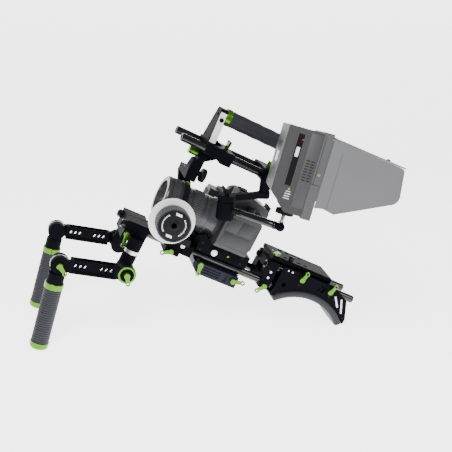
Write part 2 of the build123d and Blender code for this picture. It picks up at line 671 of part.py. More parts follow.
# ---- top handle ----------------------------------------------------------------------------------
foot_x1, shoe_x1 = 113.0, 133.0
foot_half_w = rod_y + rod_r + 3.5
post_knob_at = seat(((foot_x1 + shoe_x1) / 2 + 1, 0.0, top_rod_z + 9.5), (0, 1, 0), (0, 0, 1))
bracket_knob_at = seat((94.0, 0.0, 134.0), (0, 1, 0), (1, 0, 0))
support_knob_at = seat((post_x0 + 1, 0.0, top_rod_z - 18.5), (0, 1, 0), (-1, 0, 0))
sleeve_bore = core_r + seat_gap


def make_handle_post():
    """The tapered post, its clamp on the top rods and the core tube of the handle."""
    blade = Polyline((post_x0, -post_foot_half_w, top_rod_z + 9), (post_x0, -post_top_half_w, post_top - 4),
                     (post_x0, -post_top_half_w + 4, post_top), (post_x0, post_top_half_w - 4, post_top),
                     (post_x0, post_top_half_w, post_top - 4), (post_x0, post_foot_half_w, top_rod_z + 9),
                     close=True)
    body = extrude(make_face(blade), amount=post_x1 - post_x0, dir=(1, 0, 0))
    foot = block(post_x0, foot_x1, -foot_half_w, foot_half_w, top_rod_z - 9.5, top_rod_z + 11)
    shoe = block(foot_x1, shoe_x1, -foot_half_w, foot_half_w, top_rod_z - 15, top_rod_z + 9.5)
    gusset = slab([(post_x1 - 1, top_rod_z + 10), (post_x1 - 1, top_rod_z + 22),
                   (foot_x1 + 2, top_rod_z + 10)], -9.0, 9.0)
    body += eased(foot, 1.5, Axis.X) + eased(shoe, 1.5, Axis.X) + gusset
    body += bar_x(core_r, post_x1 - 2, top_sleeve_x1 + top_collar_h - 3, 0.0, grip_z)
    body = rod_bores(body, top_rod_z, post_x0, shoe_x1)
    return body - stud_hole(post_knob_at)


def make_top_trim():
    """The green collars at the two ends of the handle's sleeve; the rear one is closed."""
    rims = []
    core_end = top_sleeve_x1 + top_collar_h - 3
    for x0, x1, bore_end in ((top_sleeve_x0 - top_collar_h, top_sleeve_x0, top_sleeve_x0 + 1),
                             (top_sleeve_x1, top_sleeve_x1 + top_collar_h, core_end + seat_gap)):
        rim = bar_x(top_grip_r + 0.8, x0 + seat_gap, x1, 0.0, grip_z)
        rim = chamfer(rim.edges().filter_by(GeomType.CIRCLE), 0.8)
        rims.append(rim - bar_x(sleeve_bore, x0 - 1, bore_end, 0.0, grip_z))
    return Compound(children=rims)


def make_top_sleeve():
    """The rubber sleeve of the top handle."""
    sleeve = bar_x(top_grip_r, top_sleeve_x0 + seat_gap, top_sleeve_x1, 0.0, grip_z)
    return sleeve - bar_x(sleeve_bore, top_sleeve_x0 - 1, top_sleeve_x1 + 1, 0.0, grip_z)


def make_support_bracket():
    """The arm that carries the top rods: under their clamp, out past the lens, down to the lower rods."""
    z = top_rod_z - 9.5
    crown = slab([(post_x0 + 1, z), (foot_x1 - 2, z), (foot_x1 - 2, z - 6), (94.0, z - 18), (94.0, 118.0),
                  (74.0, 118.0), (72.0, 140.0), (post_x0 - 5, z - 23), (post_x0 + 1, z - 19)], -13.0, 13.0)
    strut_in = strut_y - strut_w / 2
    reach = block(74.0, 94.0, 0.0, strut_y + strut_w / 2, 118.0, 131.0)
    leg = slab([(74.0, 131.0), (94.0, 131.0), (bracket_low_x1, 8.0), (bracket_low_x1, -11.0),
                (bracket_low_x0, -11.0), (bracket_low_x0, 2.0), (74.0, 116.0)], strut_in, strut_in + strut_w)
    clamp = block(bracket_low_x0, bracket_low_x1, -foot_half_w, strut_in + 1, -11.0, 11.0)
    body = crown + reach + leg + eased(clamp, 1.5, Axis.X)
    body = rod_bores(body, 0.0, bracket_low_x0, bracket_low_x1)
    return body - stud_hole(bracket_knob_at) - stud_hole(support_knob_at)


def make_mushroom_knob():
    """The thumb screw on the support arm, its head on a short stem."""
    stem = Pos(0, 0, face_gap + 4) * Cylinder(5.0, 8.0)
    head = Pos(0, 0, 7.0) * thumb_knob(13.0, 9.0, 0.5)
    stud = Pos(0, 0, (face_gap + 1 - stud_depth) / 2) * Cylinder(stud_r, stud_depth + face_gap + 1)
    return stem + head + stud


nodes["handle_post"] = make_handle_post()
nodes["post_knob"] = post_knob_at * star_knob(9.0, 15.0)
nodes["top_grip_trim"] = make_top_trim()
nodes["top_grip_sleeve"] = make_top_sleeve()
nodes["support_bracket"] = make_support_bracket()
nodes["support_height_knob"] = bracket_knob_at * make_mushroom_knob()
nodes["support_lock_knob"] = support_knob_at * thumb_knob(7.5, 20.0)

# ---- monitor arm ---------------------------------------------------------------------------------
lean = radians(hub_lean_deg)
hub_plane = Plane(origin=hub_centre, x_dir=(cos(lean), 0, sin(lean)), z_dir=(-sin(lean), 0, cos(lean)))
hub_at = hub_plane.location
link_z = drum_z1 + face_gap
link_top = link_z + link_t
arm_knob_at = seat((arm_clamp_x0 + 14, -12.0, top_rod_z + 11), (0, 1, 0), (0, 0, 1))
mon_rot = Rot(0, 0, mon_yaw_deg) * Rot(0, -mon_pitch_deg, 0) * Rot(-mon_roll_deg, 0, 0)
mon_loc = Pos(*mon_at) * mon_rot


def in_monitor(x, y, z):
    """A point of the monitor's own frame, in the rods' frame."""
    return (mon_loc * Pos(x, y, z)).position


def make_arm_clamp():
    """The clamp at the back of the top rods, with the boss that the monitor arm hangs from."""
    body = block(arm_clamp_x0, arm_clamp_x1, -foot_half_w, foot_half_w, top_rod_z - 11, top_rod_z + 11)
    body = eased(body, 1.5, Axis.X)
    pivot = hub_at * Pos(link_end[0], link_end[1], 0)
    boss = pivot * Pos(0, 0, link_top + face_gap + 12) * Cylinder(10.0, 24.0)
    boss -= block(arm_clamp_x0 - 30, arm_clamp_x1 + 30, -80.0, 0.0, top_rod_z + 5, top_rod_z + 60)
    lug = block(arm_clamp_x0 + 2, arm_clamp_x1, -58.0, -foot_half_w + 2, top_rod_z - 9, top_rod_z + 5)
    spigot = pivot * Pos(0, 0, link_z + 12) * Cylinder(4.0, 20.0)
    body = rod_bores(body + boss + lug, top_rod_z, arm_clamp_x0 - 20, arm_clamp_x1 + 10)
    return body + spigot - stud_hole(arm_knob_at)


def make_arm_link():
    """The flat link between the clamp's boss and the hub."""
    run = (link_end[0] ** 2 + link_end[1] ** 2) ** 0.5
    aim = degrees(atan2(link_end[1], link_end[0]))
    near = Pos(0, 0, link_t / 2) * Cylinder(drum_r, link_t)
    far = Pos(run, 0, link_t / 2) * Cylinder(11.0, link_t)
    web = make_face(Polyline((0, -9), (22, -6), (run - 18, -6), (run, -10.5), (run, 10.5), (run - 18, 6),
                             (22, 6), (0, 9), close=True))
    body = near + far + extrude(web, amount=link_t)
    body -= Pos(0, 0, link_t / 2) * Cylinder(4.0 + turn_fit, link_t + 2)
    body -= Pos(run, 0, link_t / 2) * Cylinder(4.0 + turn_fit, link_t + 2)
    return hub_at * Pos(0, 0, link_z) * Rot(0, 0, aim) * body


def make_arm_rod():
    """The hub's drum, the polished rod and the stud under the monitor, in one piece."""
    drum = Pos(0, 0, (drum_z0 + drum_z1) / 2) * Cylinder(drum_r, drum_z1 - drum_z0)
    drum = chamfer(drum.edges().filter_by(GeomType.CIRCLE), 1.5)
    pin = Pos(0, 0, drum_z1 + link_t / 2) * Cylinder(4.0, link_t)
    end = in_monitor(stud_x, 0, -ball_drop)
    start = Vector(*hub_centre) - hub_plane.z_dir * 4
    way = end - start
    rod = Pos(0, 0, way.length / 2) * Cylinder(ball_rod_r, way.length)
    rod = Plane(origin=start, z_dir=way).location * rod
    knuckle = Pos(*end) * Sphere(ball_rod_r + 1.5)
    stud = mon_loc * Pos(stud_x, 0, (6 - ball_drop) / 2) * Cylinder(3.2, ball_drop + 6)
    return hub_at * (drum + pin) + rod + knuckle + stud


def make_hub_knob():
    """The wing knob on top of the hub, on a pin into the drum's own."""
    return star_knob(11.0, 15.0, 0.0)


hub_knob_at = hub_at * Pos(0, 0, link_top)


def make_lock_wheel():
    """The knurled wheel on the stud that locks the monitor."""
    wheel = Pos(0, 0, -1.5 - lock_wheel_h / 2) * Cylinder(lock_wheel_r, lock_wheel_h)
    wheel = chamfer(wheel.edges().filter_by(GeomType.CIRCLE), 1.0)
    return mon_loc * (Pos(stud_x, 0, 0) * (wheel - Pos(0, 0, -8) * Cylinder(3.2 + turn_fit, 30)))


nodes["monitor_arm_clamp"] = make_arm_clamp()
nodes["arm_clamp_knob"] = arm_knob_at * thumb_knob(7.0, 13.0)
nodes["arm_link"] = make_arm_link()
nodes["arm_rod"] = make_arm_rod()
nodes["hub_knob"] = hub_knob_at * make_hub_knob()
nodes["monitor_lock_wheel"] = make_lock_wheel()

# ---- monitor and hood ----------------------------------------------------------------------------
half_w = mon_w / 2
rail = 20.0             # the frame's lower bar, below the hood
hood_x = frame_d + 0.6
hood_top_z = mon_h - 1.0
hood_drop = 15.0        # how far the top flap slopes down over its reach
barrel_r = 1.5          # the hood's hinge barrels
pivot_x = hood_x + barrel_r


def make_monitor():
    """The monitor's case, with a screen recess and a flat for the stud."""
    case = slab([(-mon_d, 29.0), (-mon_d + 15, 15.0), (stud_x - 12, 6.5), (stud_x - 10, 0.0), (0.0, 0.0),
                 (0.0, mon_h), (-mon_d, mon_h)], -half_w, half_w)
    case = chamfer(case.edges().filter_by(Axis.Z).sort_by(Axis.X)[:2], 3.0)
    case -= block(-3.0, 1.0, -half_w + 12, half_w - 12, 24.0, mon_h - 10)
    case -= Pos(stud_x, 0, 0) * Cylinder(3.2 + turn_fit, 14.0)
    return mon_loc * case


def make_hood_frame():
    """The frame that carries the hood, clipped on the monitor's face."""
    frame = block(seat_gap, frame_d, -half_w - 1, half_w + 1, -frame_over, mon_h + frame_over)
    frame = eased(frame, 1.5, Axis.X)
    frame -= block(-1.0, frame_d + 1, -half_w + 12, half_w - 12, 24.0, mon_h - 10)
    return mon_loc * frame


def hood_side_outline():
    """The side flap's outline, from the hinge round to the top."""
    top = hood_top_z - 3.4
    lower = Polyline((pivot_x, rail), (hood_x + 14, rail + 2), (hood_x + 34, rail - 2),
                     (hood_x + 118, rail + 38))
    corner = ThreePointArc(lower @ 1, Vector(hood_x + 128, rail + 46), Vector(hood_x + 130, rail + 57))
    edge = Polyline((hood_x + 130, rail + 57), (hood_x + hood_reach - 1, top - hood_drop - 4),
                    (hood_x + hood_reach - 4, top - hood_drop), (pivot_x, top), (pivot_x, rail))
    face = make_face([lower, corner, edge])
    return extrude(face, amount=hood_t)


def make_hood_side(side):
    """A side flap of the hood, with the barrel of its hinge along its back edge."""
    panel = Rot(90, 0, 0) * hood_side_outline()
    shift = half_w if side > 0 else -half_w + hood_t
    barrel = bar_z(barrel_r, rail, hood_top_z - 3.4, pivot_x, side * (half_w - hood_t / 2))
    return mon_loc * (Pos(0, shift, 0) * panel + barrel)


def make_hood_top():
    """The top flap, sloping down over the side flaps, with its hinge's barrel along its back edge."""
    fall = hood_drop / (hood_reach - 3)
    z = hood_top_z - 2.5
    points = [(pivot_x, z), (hood_x + hood_reach, z - fall * hood_reach),
              (hood_x + hood_reach, z - fall * hood_reach + hood_t), (pivot_x, z + hood_t)]
    barrel = bar_y(barrel_r, -half_w, half_w, pivot_x, z + hood_t / 2)
    return mon_loc * (slab(points, -half_w, half_w) + barrel)


nodes["monitor_case"] = make_monitor()
nodes["hood_frame"] = make_hood_frame()
nodes["hood_top"] = make_hood_top()
for side, name in ((-1, "left"), (1, "right")):
    nodes[f"hood_side_{name}"] = make_hood_side(side)


# ---- standing on the grips and the cushion -------------------------------------------------------
def foot_centre():
    """The centre of the end cap's rounding, on the side that the grip leans to."""
    along, out = grip_end - foot_round, trim_r - foot_round
    return (wrist[0] + along * sin(rake) + out * cos(rake), wrist[1] - along * cos(rake) + out * sin(rake))


def heel_centre():
    """The centre of the rounding at the cushion's back edge."""
    turn = degrees(foot_round / (foam_r + foot_round))
    return arch_point(foam_r + foot_round, arch_half_deg - turn)


toe, heel = foot_centre(), heel_centre()
stand_tilt = degrees(atan2(heel[1] - toe[1], heel[0] - toe[0]))
tilted = Rot(0, stand_tilt, 0)
standing = {name: tilted * shape for name, shape in nodes.items()}
low = [1e9, 1e9, 1e9]
high = [-1e9, -1e9, -1e9]
for shape in standing.values():
    box = shape.bounding_box()
    low = [min(a, b) for a, b in zip(low, box.min)]
    high = [max(a, b) for a, b in zip(high, box.max)]
stand_shift = (-(low[0] + high[0]) / 2, -(low[1] + high[1]) / 2, -low[2])

if __name__ == "__main__":
    os.makedirs("parts", exist_ok=True)
    for name, shape in standing.items():
        export_step(Pos(*stand_shift) * shape, f"parts/{name}.step")
    print(len(standing), "nodes, tilt", round(stand_tilt, 2), "size",
          [round(b - a, 1) for a, b in zip(low, high)])
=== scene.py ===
"""A shoulder camera rig: rods, folding handles, follow focus, camera, shoulder pad and a hooded monitor."""
import json
from math import atan2, cos, pi, radians, sin

import bmesh
import bpy
from mathutils import Matrix, Vector

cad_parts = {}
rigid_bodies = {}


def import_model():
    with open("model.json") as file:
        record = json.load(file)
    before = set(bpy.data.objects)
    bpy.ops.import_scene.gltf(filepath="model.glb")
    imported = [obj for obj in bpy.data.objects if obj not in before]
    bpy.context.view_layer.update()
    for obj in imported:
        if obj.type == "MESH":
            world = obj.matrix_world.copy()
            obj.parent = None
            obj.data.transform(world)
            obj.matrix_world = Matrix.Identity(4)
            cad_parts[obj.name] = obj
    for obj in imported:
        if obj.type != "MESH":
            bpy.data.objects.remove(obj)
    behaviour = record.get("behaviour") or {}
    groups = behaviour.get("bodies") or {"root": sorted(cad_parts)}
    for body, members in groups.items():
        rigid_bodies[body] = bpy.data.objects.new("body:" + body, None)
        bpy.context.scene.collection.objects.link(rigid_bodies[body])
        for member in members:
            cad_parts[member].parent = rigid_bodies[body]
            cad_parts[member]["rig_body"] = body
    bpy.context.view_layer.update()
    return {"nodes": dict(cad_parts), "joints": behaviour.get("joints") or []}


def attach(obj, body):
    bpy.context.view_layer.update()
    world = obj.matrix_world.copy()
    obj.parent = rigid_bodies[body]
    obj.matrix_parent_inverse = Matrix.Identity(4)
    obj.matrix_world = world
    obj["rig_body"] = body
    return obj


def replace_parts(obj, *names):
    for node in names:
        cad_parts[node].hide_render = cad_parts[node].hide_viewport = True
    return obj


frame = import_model()

# ---- where the rig stands --------------------------------------------------------------------------
# The rig's own axes run back along its rods, across it, and square off the rods. The joints say where
# they are: the shoulder pad slides along the rods, and the handles swivel square off them.
joints = {joint["name"]: joint for joint in frame["joints"]}
back_along = Vector(joints["shoulder_slide"]["axis"])
square_off = Vector(joints["swivel_left"]["axis"])
rig = Matrix((back_along, (0, 1, 0), square_off)).transposed().to_4x4()
rig.translation = Vector(joints["disc_turn"]["pos_m"]) - rig.to_3x3() @ Vector((0.067, -0.088, 0.053))


def on_rig(x, y, z, turn=0.0, axis="Y"):
    """The place x, y, z millimetres along the rig's own axes, turned about one of them."""
    spot = Matrix.Translation((x / 1000, y / 1000, z / 1000))
    return rig @ spot @ Matrix.Rotation(radians(turn), 4, axis)


rig_place, rig_turn = on_rig(0, 0, 0), rig.to_3x3().to_4x4()
to_left, to_back = Matrix.Rotation(pi / 2, 4, "X"), Matrix.Rotation(pi / 2, 4, "Y")

# ---- studio ----------------------------------------------------------------------------------------
# A wide pale floor that curves up at the back and glows behind the rig, a dim even room, and three soft
# lamps that draw long highlights on the black metal. The camera looks from the rig's left side, a
# little above and towards its front.
camera = bpy.data.objects.new("camera", bpy.data.cameras.new("camera"))
bpy.context.scene.collection.objects.link(camera)
bpy.context.scene.camera = camera
camera.data.lens, camera.data.sensor_width = 70.1, 36.0
camera.data.clip_end = 50.0
aim_at = on_rig(191.9, 0, 63.5).translation
swing, rise, level = radians(-12.72), radians(18.66), radians(2.66)
backward = Vector((sin(swing) * cos(rise), -cos(swing) * cos(rise), sin(rise)))
settle = Matrix.Rotation(atan2(-back_along.z, back_along.x) - radians(24.58), 3, "Y")
backward = settle @ backward
rightward = settle @ Vector((cos(swing), sin(swing), 0.0))
upward = backward.cross(rightward)
turned_right = rightward * cos(level) + upward * sin(level)
turned_up = upward * cos(level) - rightward * sin(level)
camera.matrix_world = Matrix((turned_right, turned_up, backward)).transposed().to_4x4()
camera.location = aim_at + backward * 1.6686

floor_mesh = bmesh.new()
sweep = [(-6, 0), (2.0, 0), (2.5, 0.03), (3.0, 0.18), (3.35, 0.5), (3.5, 1.0)]
spine = [floor_mesh.verts.new((-6, y, z)) for y, z in sweep]
spine_edges = [floor_mesh.edges.new(pair) for pair in zip(spine, spine[1:])]
drawn_out = bmesh.ops.extrude_edge_only(floor_mesh, edges=spine_edges)["geom"]
bmesh.ops.translate(floor_mesh, verts=[g for g in drawn_out if isinstance(g, bmesh.types.BMVert)],
                    vec=(12, 0, 0))
floor_data = bpy.data.meshes.new("floor")
floor_mesh.to_mesh(floor_data)
floor_mesh.free()
floor_data.polygons.foreach_set("use_smooth", [True] * len(floor_data.polygons))
floor = bpy.data.objects.new("floor", floor_data)
bpy.context.scene.collection.objects.link(floor)
floor.location.z = -0.0005
floor_paint = bpy.data.materials.new("studio_floor")
floor_paint.use_nodes = True
paint = floor_paint.node_tree.nodes["Principled BSDF"]
paint.inputs["Base Color"].default_value = (0.95, 0.95, 0.95, 1)
paint.inputs["Roughness"].default_value = 0.95
paint.inputs["Specular IOR Level"].default_value = 0.1
floor_tree = floor_paint.node_tree
where_on_floor = floor_tree.nodes.new("ShaderNodeTexCoord")
floor_parts = floor_tree.nodes.new("ShaderNodeSeparateXYZ")
glow = floor_tree.nodes.new("ShaderNodeMapRange")
for socket, value in (("From Min", -0.75), ("From Max", -0.45), ("To Min", 0.0), ("To Max", 1.0)):
    glow.inputs[socket].default_value = value
floor_tree.links.new(where_on_floor.outputs["Object"], floor_parts.inputs["Vector"])
floor_tree.links.new(floor_parts.outputs["Y"], glow.inputs["Value"])
floor_tree.links.new(glow.outputs["Result"], paint.inputs["Emission Color"])
paint.inputs["Emission Strength"].default_value = 3.2
floor_data.materials.append(floor_paint)

room = bpy.data.worlds.new("studio_room")
bpy.context.scene.world = room
room.use_nodes = True
room.node_tree.nodes["Background"].inputs["Color"].default_value = (0.97, 0.98, 1.0, 1)
room.node_tree.nodes["Background"].inputs["Strength"].default_value = 0.3
for name, spot, power, size in (("lamp_over", (-0.5, -1.3, 1.6), 42, 0.8),
                                ("lamp_side", (1.5, -1.0, 1.0), 14, 0.9),
                                ("lamp_behind", (-0.3, 1.5, 1.3), 3, 0.6)):
    lamp = bpy.data.objects.new(name, bpy.data.lights.new(name, "AREA"))
    lamp.data.energy, lamp.data.size = power, size
    lamp.location = spot
    lamp.rotation_euler = (Vector((0, 0, 0.2)) - Vector(spot)).to_track_quat("-Z", "Y").to_euler()
    bpy.context.scene.collection.objects.link(lamp)

# ---- rods ------------------------------------------------------------------------------------------
# Three pairs of 15 mm aluminium tubes, drawn, polished and anodised black. A turned black plug closes
# each end but the top rods' threaded front ones. They are clamped by the blocks on them and by nothing else.


def effect_group(name, inputs, outputs):
    """A node group with number inputs, its input and output nodes ready to be wired."""
    group = bpy.data.node_groups.new(name, "ShaderNodeTree")
    for label, default in inputs:
        socket = group.interface.new_socket(name=label, in_out="INPUT", socket_type="NodeSocketFloat")
        socket.default_value = default
    for label, kind in outputs:
        group.interface.new_socket(name=label, in_out="OUTPUT", socket_type=kind)
    return group, group.nodes.new("NodeGroupInput"), group.nodes.new("NodeGroupOutput")


def wire(tree, *pairs):
    """Links each pair of sockets."""
    for source, target in pairs:
        tree.links.new(source, target)


def calc(tree, operation, first, second=None, third=None, clamp=False):
    """A maths node, its inputs numbers or sockets."""
    node = tree.nodes.new("ShaderNodeMath")
    node.operation, node.use_clamp = operation, clamp
    for index, value in enumerate((first, second, third)):
        if value is None:
            continue
        if isinstance(value, (int, float)):
            node.inputs[index].default_value = value
        else:
            tree.links.new(value, node.inputs[index])
    return node.outputs[0]


def grain(tree, scale, detail=3.0, coordinate=None, stretch=None):
    """Noise on object coordinates, one value."""
    place = tree.nodes.new("ShaderNodeTexCoord").outputs["Object"] if coordinate is None else coordinate
    if stretch:
        mapping = tree.nodes.new("ShaderNodeMapping")
        mapping.inputs["Scale"].default_value = stretch
        tree.links.new(place, mapping.inputs["Vector"])
        place = mapping.outputs["Vector"]
    noise = tree.nodes.new("ShaderNodeTexNoise")
    if isinstance(scale, (int, float)):
        noise.inputs["Scale"].default_value = scale
    else:
        tree.links.new(scale, noise.inputs["Scale"])
    noise.inputs["Detail"].default_value = detail
    tree.links.new(place, noise.inputs["Vector"])
    return noise.outputs["Fac"]


# Edge wear and painted highlight: where a rounded edge's normal leaves the face's own, broken up by noise.
edge_wear_and_highlight, wear_in, wear_out = effect_group("edge_wear_and_highlight", [("Width", 0.0006), ("Strength", 3.0)],
                                            [("Mask", "NodeSocketFloat")])
rounded = edge_wear_and_highlight.nodes.new("ShaderNodeBevel")
rounded.samples = 4
wire(edge_wear_and_highlight, (wear_in.outputs["Width"], rounded.inputs["Radius"]))
facing = edge_wear_and_highlight.nodes.new("ShaderNodeNewGeometry")
turned_by = edge_wear_and_highlight.nodes.new("ShaderNodeVectorMath")
turned_by.operation = "DOT_PRODUCT"
wire(edge_wear_and_highlight, (rounded.outputs["Normal"], turned_by.inputs[0]),
     (facing.outputs["Normal"], turned_by.inputs[1]))
bare = calc(edge_wear_and_highlight, "SUBTRACT", 1.0, turned_by.outputs["Value"])
patchy = calc(edge_wear_and_highlight, "MULTIPLY", bare, grain(edge_wear_and_highlight, 240.0))
worn = calc(edge_wear_and_highlight, "MULTIPLY", patchy, wear_in.outputs["Strength"], clamp=True)
wire(edge_wear_and_highlight, (worn, wear_out.inputs["Mask"]))

# Fine finish: cloudy tone and pin-prick grain, as a bead-blasted or moulded face has.
fine_finish, fine_in, fine_out = effect_group("fine_finish",
                                              [("Cloud Scale", 30.0), ("Grain Scale", 1400.0)],
                                              [("Cloud", "NodeSocketFloat"), ("Grain", "NodeSocketFloat")])
wire(fine_finish, (grain(fine_finish, fine_in.outputs["Cloud Scale"], 4.0), fine_out.inputs["Cloud"]),
     (grain(fine_finish, fine_in.outputs["Grain Scale"], 1.0), fine_out.inputs["Grain"]))


def finish(name, dark, light, rough=(0.3, 0.45), metallic=0.0, worn_and_highlight_to=None, wear=2.5, bump=0.04,
           cloud=30.0, grain_scale=1400.0, specular=0.5, coat=0.0, sheen=0.0):
    """A finish whose tone and gloss drift over the surface, with lighter edges (wear, and on black anodised
    also a painted highlight) and a fine grain.
    """
    material = bpy.data.materials.new(name)
    material.use_nodes = True
    tree = material.node_tree
    shader = tree.nodes["Principled BSDF"]
    shader.inputs["Metallic"].default_value = metallic
    shader.inputs["Specular IOR Level"].default_value = specular
    shader.inputs["Coat Weight"].default_value = coat
    shader.inputs["Coat Roughness"].default_value = 0.12
    shader.inputs["Sheen Weight"].default_value = sheen
    surface = tree.nodes.new("ShaderNodeGroup")
    surface.node_tree = fine_finish
    surface.inputs["Cloud Scale"].default_value = cloud
    surface.inputs["Grain Scale"].default_value = grain_scale
    tone = tree.nodes.new("ShaderNodeMix")
    tone.data_type = "RGBA"
    tone.inputs[6].default_value, tone.inputs[7].default_value = (*dark, 1), (*light, 1)
    wire(tree, (surface.outputs["Cloud"], tone.inputs[0]))
    colour = tone.outputs[2]
    # Lightens the edges: real wear, and on black anodised also a painted highlight.
    if worn_and_highlight_to:
        edges = tree.nodes.new("ShaderNodeGroup")
        edges.node_tree = edge_wear_and_highlight
        edges.inputs["Strength"].default_value = wear
        rub = tree.nodes.new("ShaderNodeMix")
        rub.data_type = "RGBA"
        rub.inputs[7].default_value = (*worn_and_highlight_to, 1)
        wire(tree, (edges.outputs["Mask"], rub.inputs[0]), (colour, rub.inputs[6]))
        colour = rub.outputs[2]
    wire(tree, (colour, shader.inputs["Base Color"]))
    gloss = calc(tree, "MULTIPLY_ADD", surface.outputs["Cloud"], rough[1] - rough[0], rough[0])
    wire(tree, (gloss, shader.inputs["Roughness"]))
    raised = tree.nodes.new("ShaderNodeBump")
    raised.inputs["Strength"].default_value = bump
    raised.inputs["Distance"].default_value = 0.0003
    wire(tree, (surface.outputs["Grain"], raised.inputs["Height"]),
         (raised.outputs["Normal"], shader.inputs["Normal"]))
    return material


# Black anodised has almost no specular. Its lighter worn edges are partly real wear and partly a painted
# highlight.
black_anodised = finish("black_anodised", (0.0025, 0.0025, 0.004), (0.006, 0.006, 0.009), rough=(0.36, 0.5),
                        worn_and_highlight_to=(0.07, 0.07, 0.08), wear=0.8, specular=0.009)
rod_black = finish("rod_black", (0.002, 0.002, 0.003), (0.006, 0.006, 0.008), rough=(0.1, 0.18),
                   worn_and_highlight_to=(0.12, 0.12, 0.13), wear=1.0, specular=0.5)


def placed(name, shape, where, material, body, smooth=35.0):
    """A piece from a shape drawn in millimetres: put in its place, shaded, and hung on its body."""
    bmesh.ops.remove_doubles(shape, verts=shape.verts, dist=0.0005)
    bmesh.ops.recalc_face_normals(shape, faces=shape.faces)
    bmesh.ops.transform(shape, matrix=where @ Matrix.Scale(0.001, 4), verts=shape.verts)
    mesh = bpy.data.meshes.new(name)
    shape.to_mesh(mesh)
    shape.free()
    mesh.materials.append(material)
    mesh.polygons.foreach_set("use_smooth", [True] * len(mesh.polygons))
    mesh.set_sharp_from_angle(angle=radians(smooth))
    piece = bpy.data.objects.new(name, mesh)
    bpy.context.scene.collection.objects.link(piece)
    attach(piece, body)
    return piece


def turned(shape, outline, steps=48, about=(0, 0, 0), arc=2 * pi):
    """Adds a turned solid about z, from its outline as (radius, height) pairs."""
    ring = [shape.verts.new((about[0] + r, about[1], about[2] + z)) for r, z in outline]
    edges = [shape.edges.new((ring[i], ring[i + 1])) for i in range(len(ring) - 1)]
    made = bmesh.ops.spin(shape, geom=ring + edges, cent=about, axis=(0, 0, 1), angle=arc, steps=steps,
                          use_merge=arc >= 2 * pi)
    bmesh.ops.remove_doubles(shape, verts=shape.verts, dist=0.0005)
    return made


for rods in ("lower_rods", "rear_rods", "top_rods"):
    frame["nodes"][rods].material_slots[0].material = rod_black
for name, x, z, way in (("lower_front", 0, 0, -1), ("lower_back", 320, 0, 1), ("rear_front", 286, 33, -1),
                        ("rear_back", 486, 33, 1), ("top_back", 230, 188, 1)):
    plugs = bmesh.new()
    for side in (-1, 1):
        turned(plugs, [(0, 0.4), (2.0, 0.4), (2.0, 1.2), (4.6, 1.2), (5.0, 0.9), (5.0, -6.0), (0, -6.0)],
               24)
        fresh = [v for v in plugs.verts if not v.tag]
        bmesh.ops.transform(plugs, matrix=Matrix.Translation((0, 30 * side, 0))
                            @ Matrix.Rotation(way * pi / 2, 4, "Y"),
                            verts=fresh)
        for vert in plugs.verts:
            vert.tag = True
    placed(f"rod_plugs_{name}", plugs, on_rig(x, 0, z), black_anodised, "chassis")

# ---- handle mount and knuckles ---------------------------------------------------------------------
# The block that clamps the front of the lower rods and the two knuckles that swivel under its ears.
# They are milled from black anodised aluminium, their edges broken, with a bright ring at each swivel.
green_anodised = finish("green_anodised", (0.050, 0.150, 0.006), (0.090, 0.235, 0.014), rough=(0.16, 0.28),
                        metallic=0.7,
                        worn_and_highlight_to=(0.35, 0.55, 0.16), wear=1.4, coat=0.05)
bright_metal = finish("bright_metal", (0.55, 0.55, 0.57), (0.78, 0.78, 0.80), rough=(0.15, 0.3),
                      metallic=0.95,
                      worn_and_highlight_to=(0.95, 0.95, 0.96), wear=1.5)


def broken_edges(node, material, width=0.5, smooth=30.0):
    """The node's own shape with its corners merged and its sharp edges broken."""
    source = frame["nodes"][node]
    shape = bmesh.new()
    shape.from_mesh(source.data)
    bmesh.ops.remove_doubles(shape, verts=shape.verts, dist=0.000002)
    bmesh.ops.dissolve_limit(shape, angle_limit=radians(0.4), verts=shape.verts, edges=shape.edges)
    mesh = bpy.data.meshes.new(node + "_body")
    shape.to_mesh(mesh)
    shape.free()
    mesh.materials.clear()
    mesh.materials.append(material)
    mesh.polygons.foreach_set("use_smooth", [True] * len(mesh.polygons))
    mesh.set_sharp_from_angle(angle=radians(smooth))
    piece = bpy.data.objects.new(node + "_body", mesh)
    bpy.context.scene.collection.objects.link(piece)
    edge = piece.modifiers.new("broken_edges", "BEVEL")
    edge.width, edge.segments, edge.limit_method = width / 1000, 2, "ANGLE"
    edge.angle_limit, edge.use_clamp_overlap, edge.harden_normals = radians(30), True, True
    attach(piece, source["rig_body"])
    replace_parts(piece, node)
    return piece


broken_edges("handle_mount", black_anodised, 0.6)
frame["nodes"]["swivel_rings"].material_slots[0].material = bright_metal
broken_edges("handle_mount_lever", green_anodised, 0.4)
for side in ("left", "right"):
    broken_edges(f"knuckle_{side}", black_anodised, 0.6)

# ---- folding arms ----------------------------------------------------------------------------------
# Each arm is one milled bar with pockets and diamond windows, and a round tongue at each end. A green
# ring marks each elbow and a bright band each wrist, and green cam levers clamp both.
grip_lean = -10.3
for side, way in (("left", -1), ("right", 1)):
    broken_edges(f"arm_{side}", black_anodised, 0.4)
    broken_edges(f"arm_lever_{side}", green_anodised, 0.35)
    broken_edges(f"grip_lever_{side}", green_anodised, 0.35)
    elbow = Matrix.Translation(joints[f"arm_pitch_{side}"]["pos_m"]) @ rig_turn
    wrist = Matrix.Translation(joints[f"grip_pitch_{side}"]["pos_m"]) @ rig_turn
    outward = Matrix.Rotation(pi / 2 * -way, 4, "X")
    ring = bmesh.new()
    turned(ring, [(12.0, 0.02), (15.9, 0.02), (15.9, 1.2), (15.2, 1.9), (12.7, 1.9), (12.0, 1.2),
                  (12.0, 0.02)], 64)
    placed(f"elbow_ring_{side}", ring, elbow @ Matrix.Translation((0, way * 0.0115, 0)) @ outward,
           green_anodised,
           f"arm_{side}")
    band = bmesh.new()
    turned(band, [(16.4, 0.2), (17.0, 0.4), (17.0, 2.2), (16.4, 2.4), (16.4, 0.2)], 64)
    placed(f"wrist_band_{side}", band, wrist @ Matrix.Translation((0, way * 0.0002, 0)) @ outward,
           bright_metal,
           f"arm_{side}")

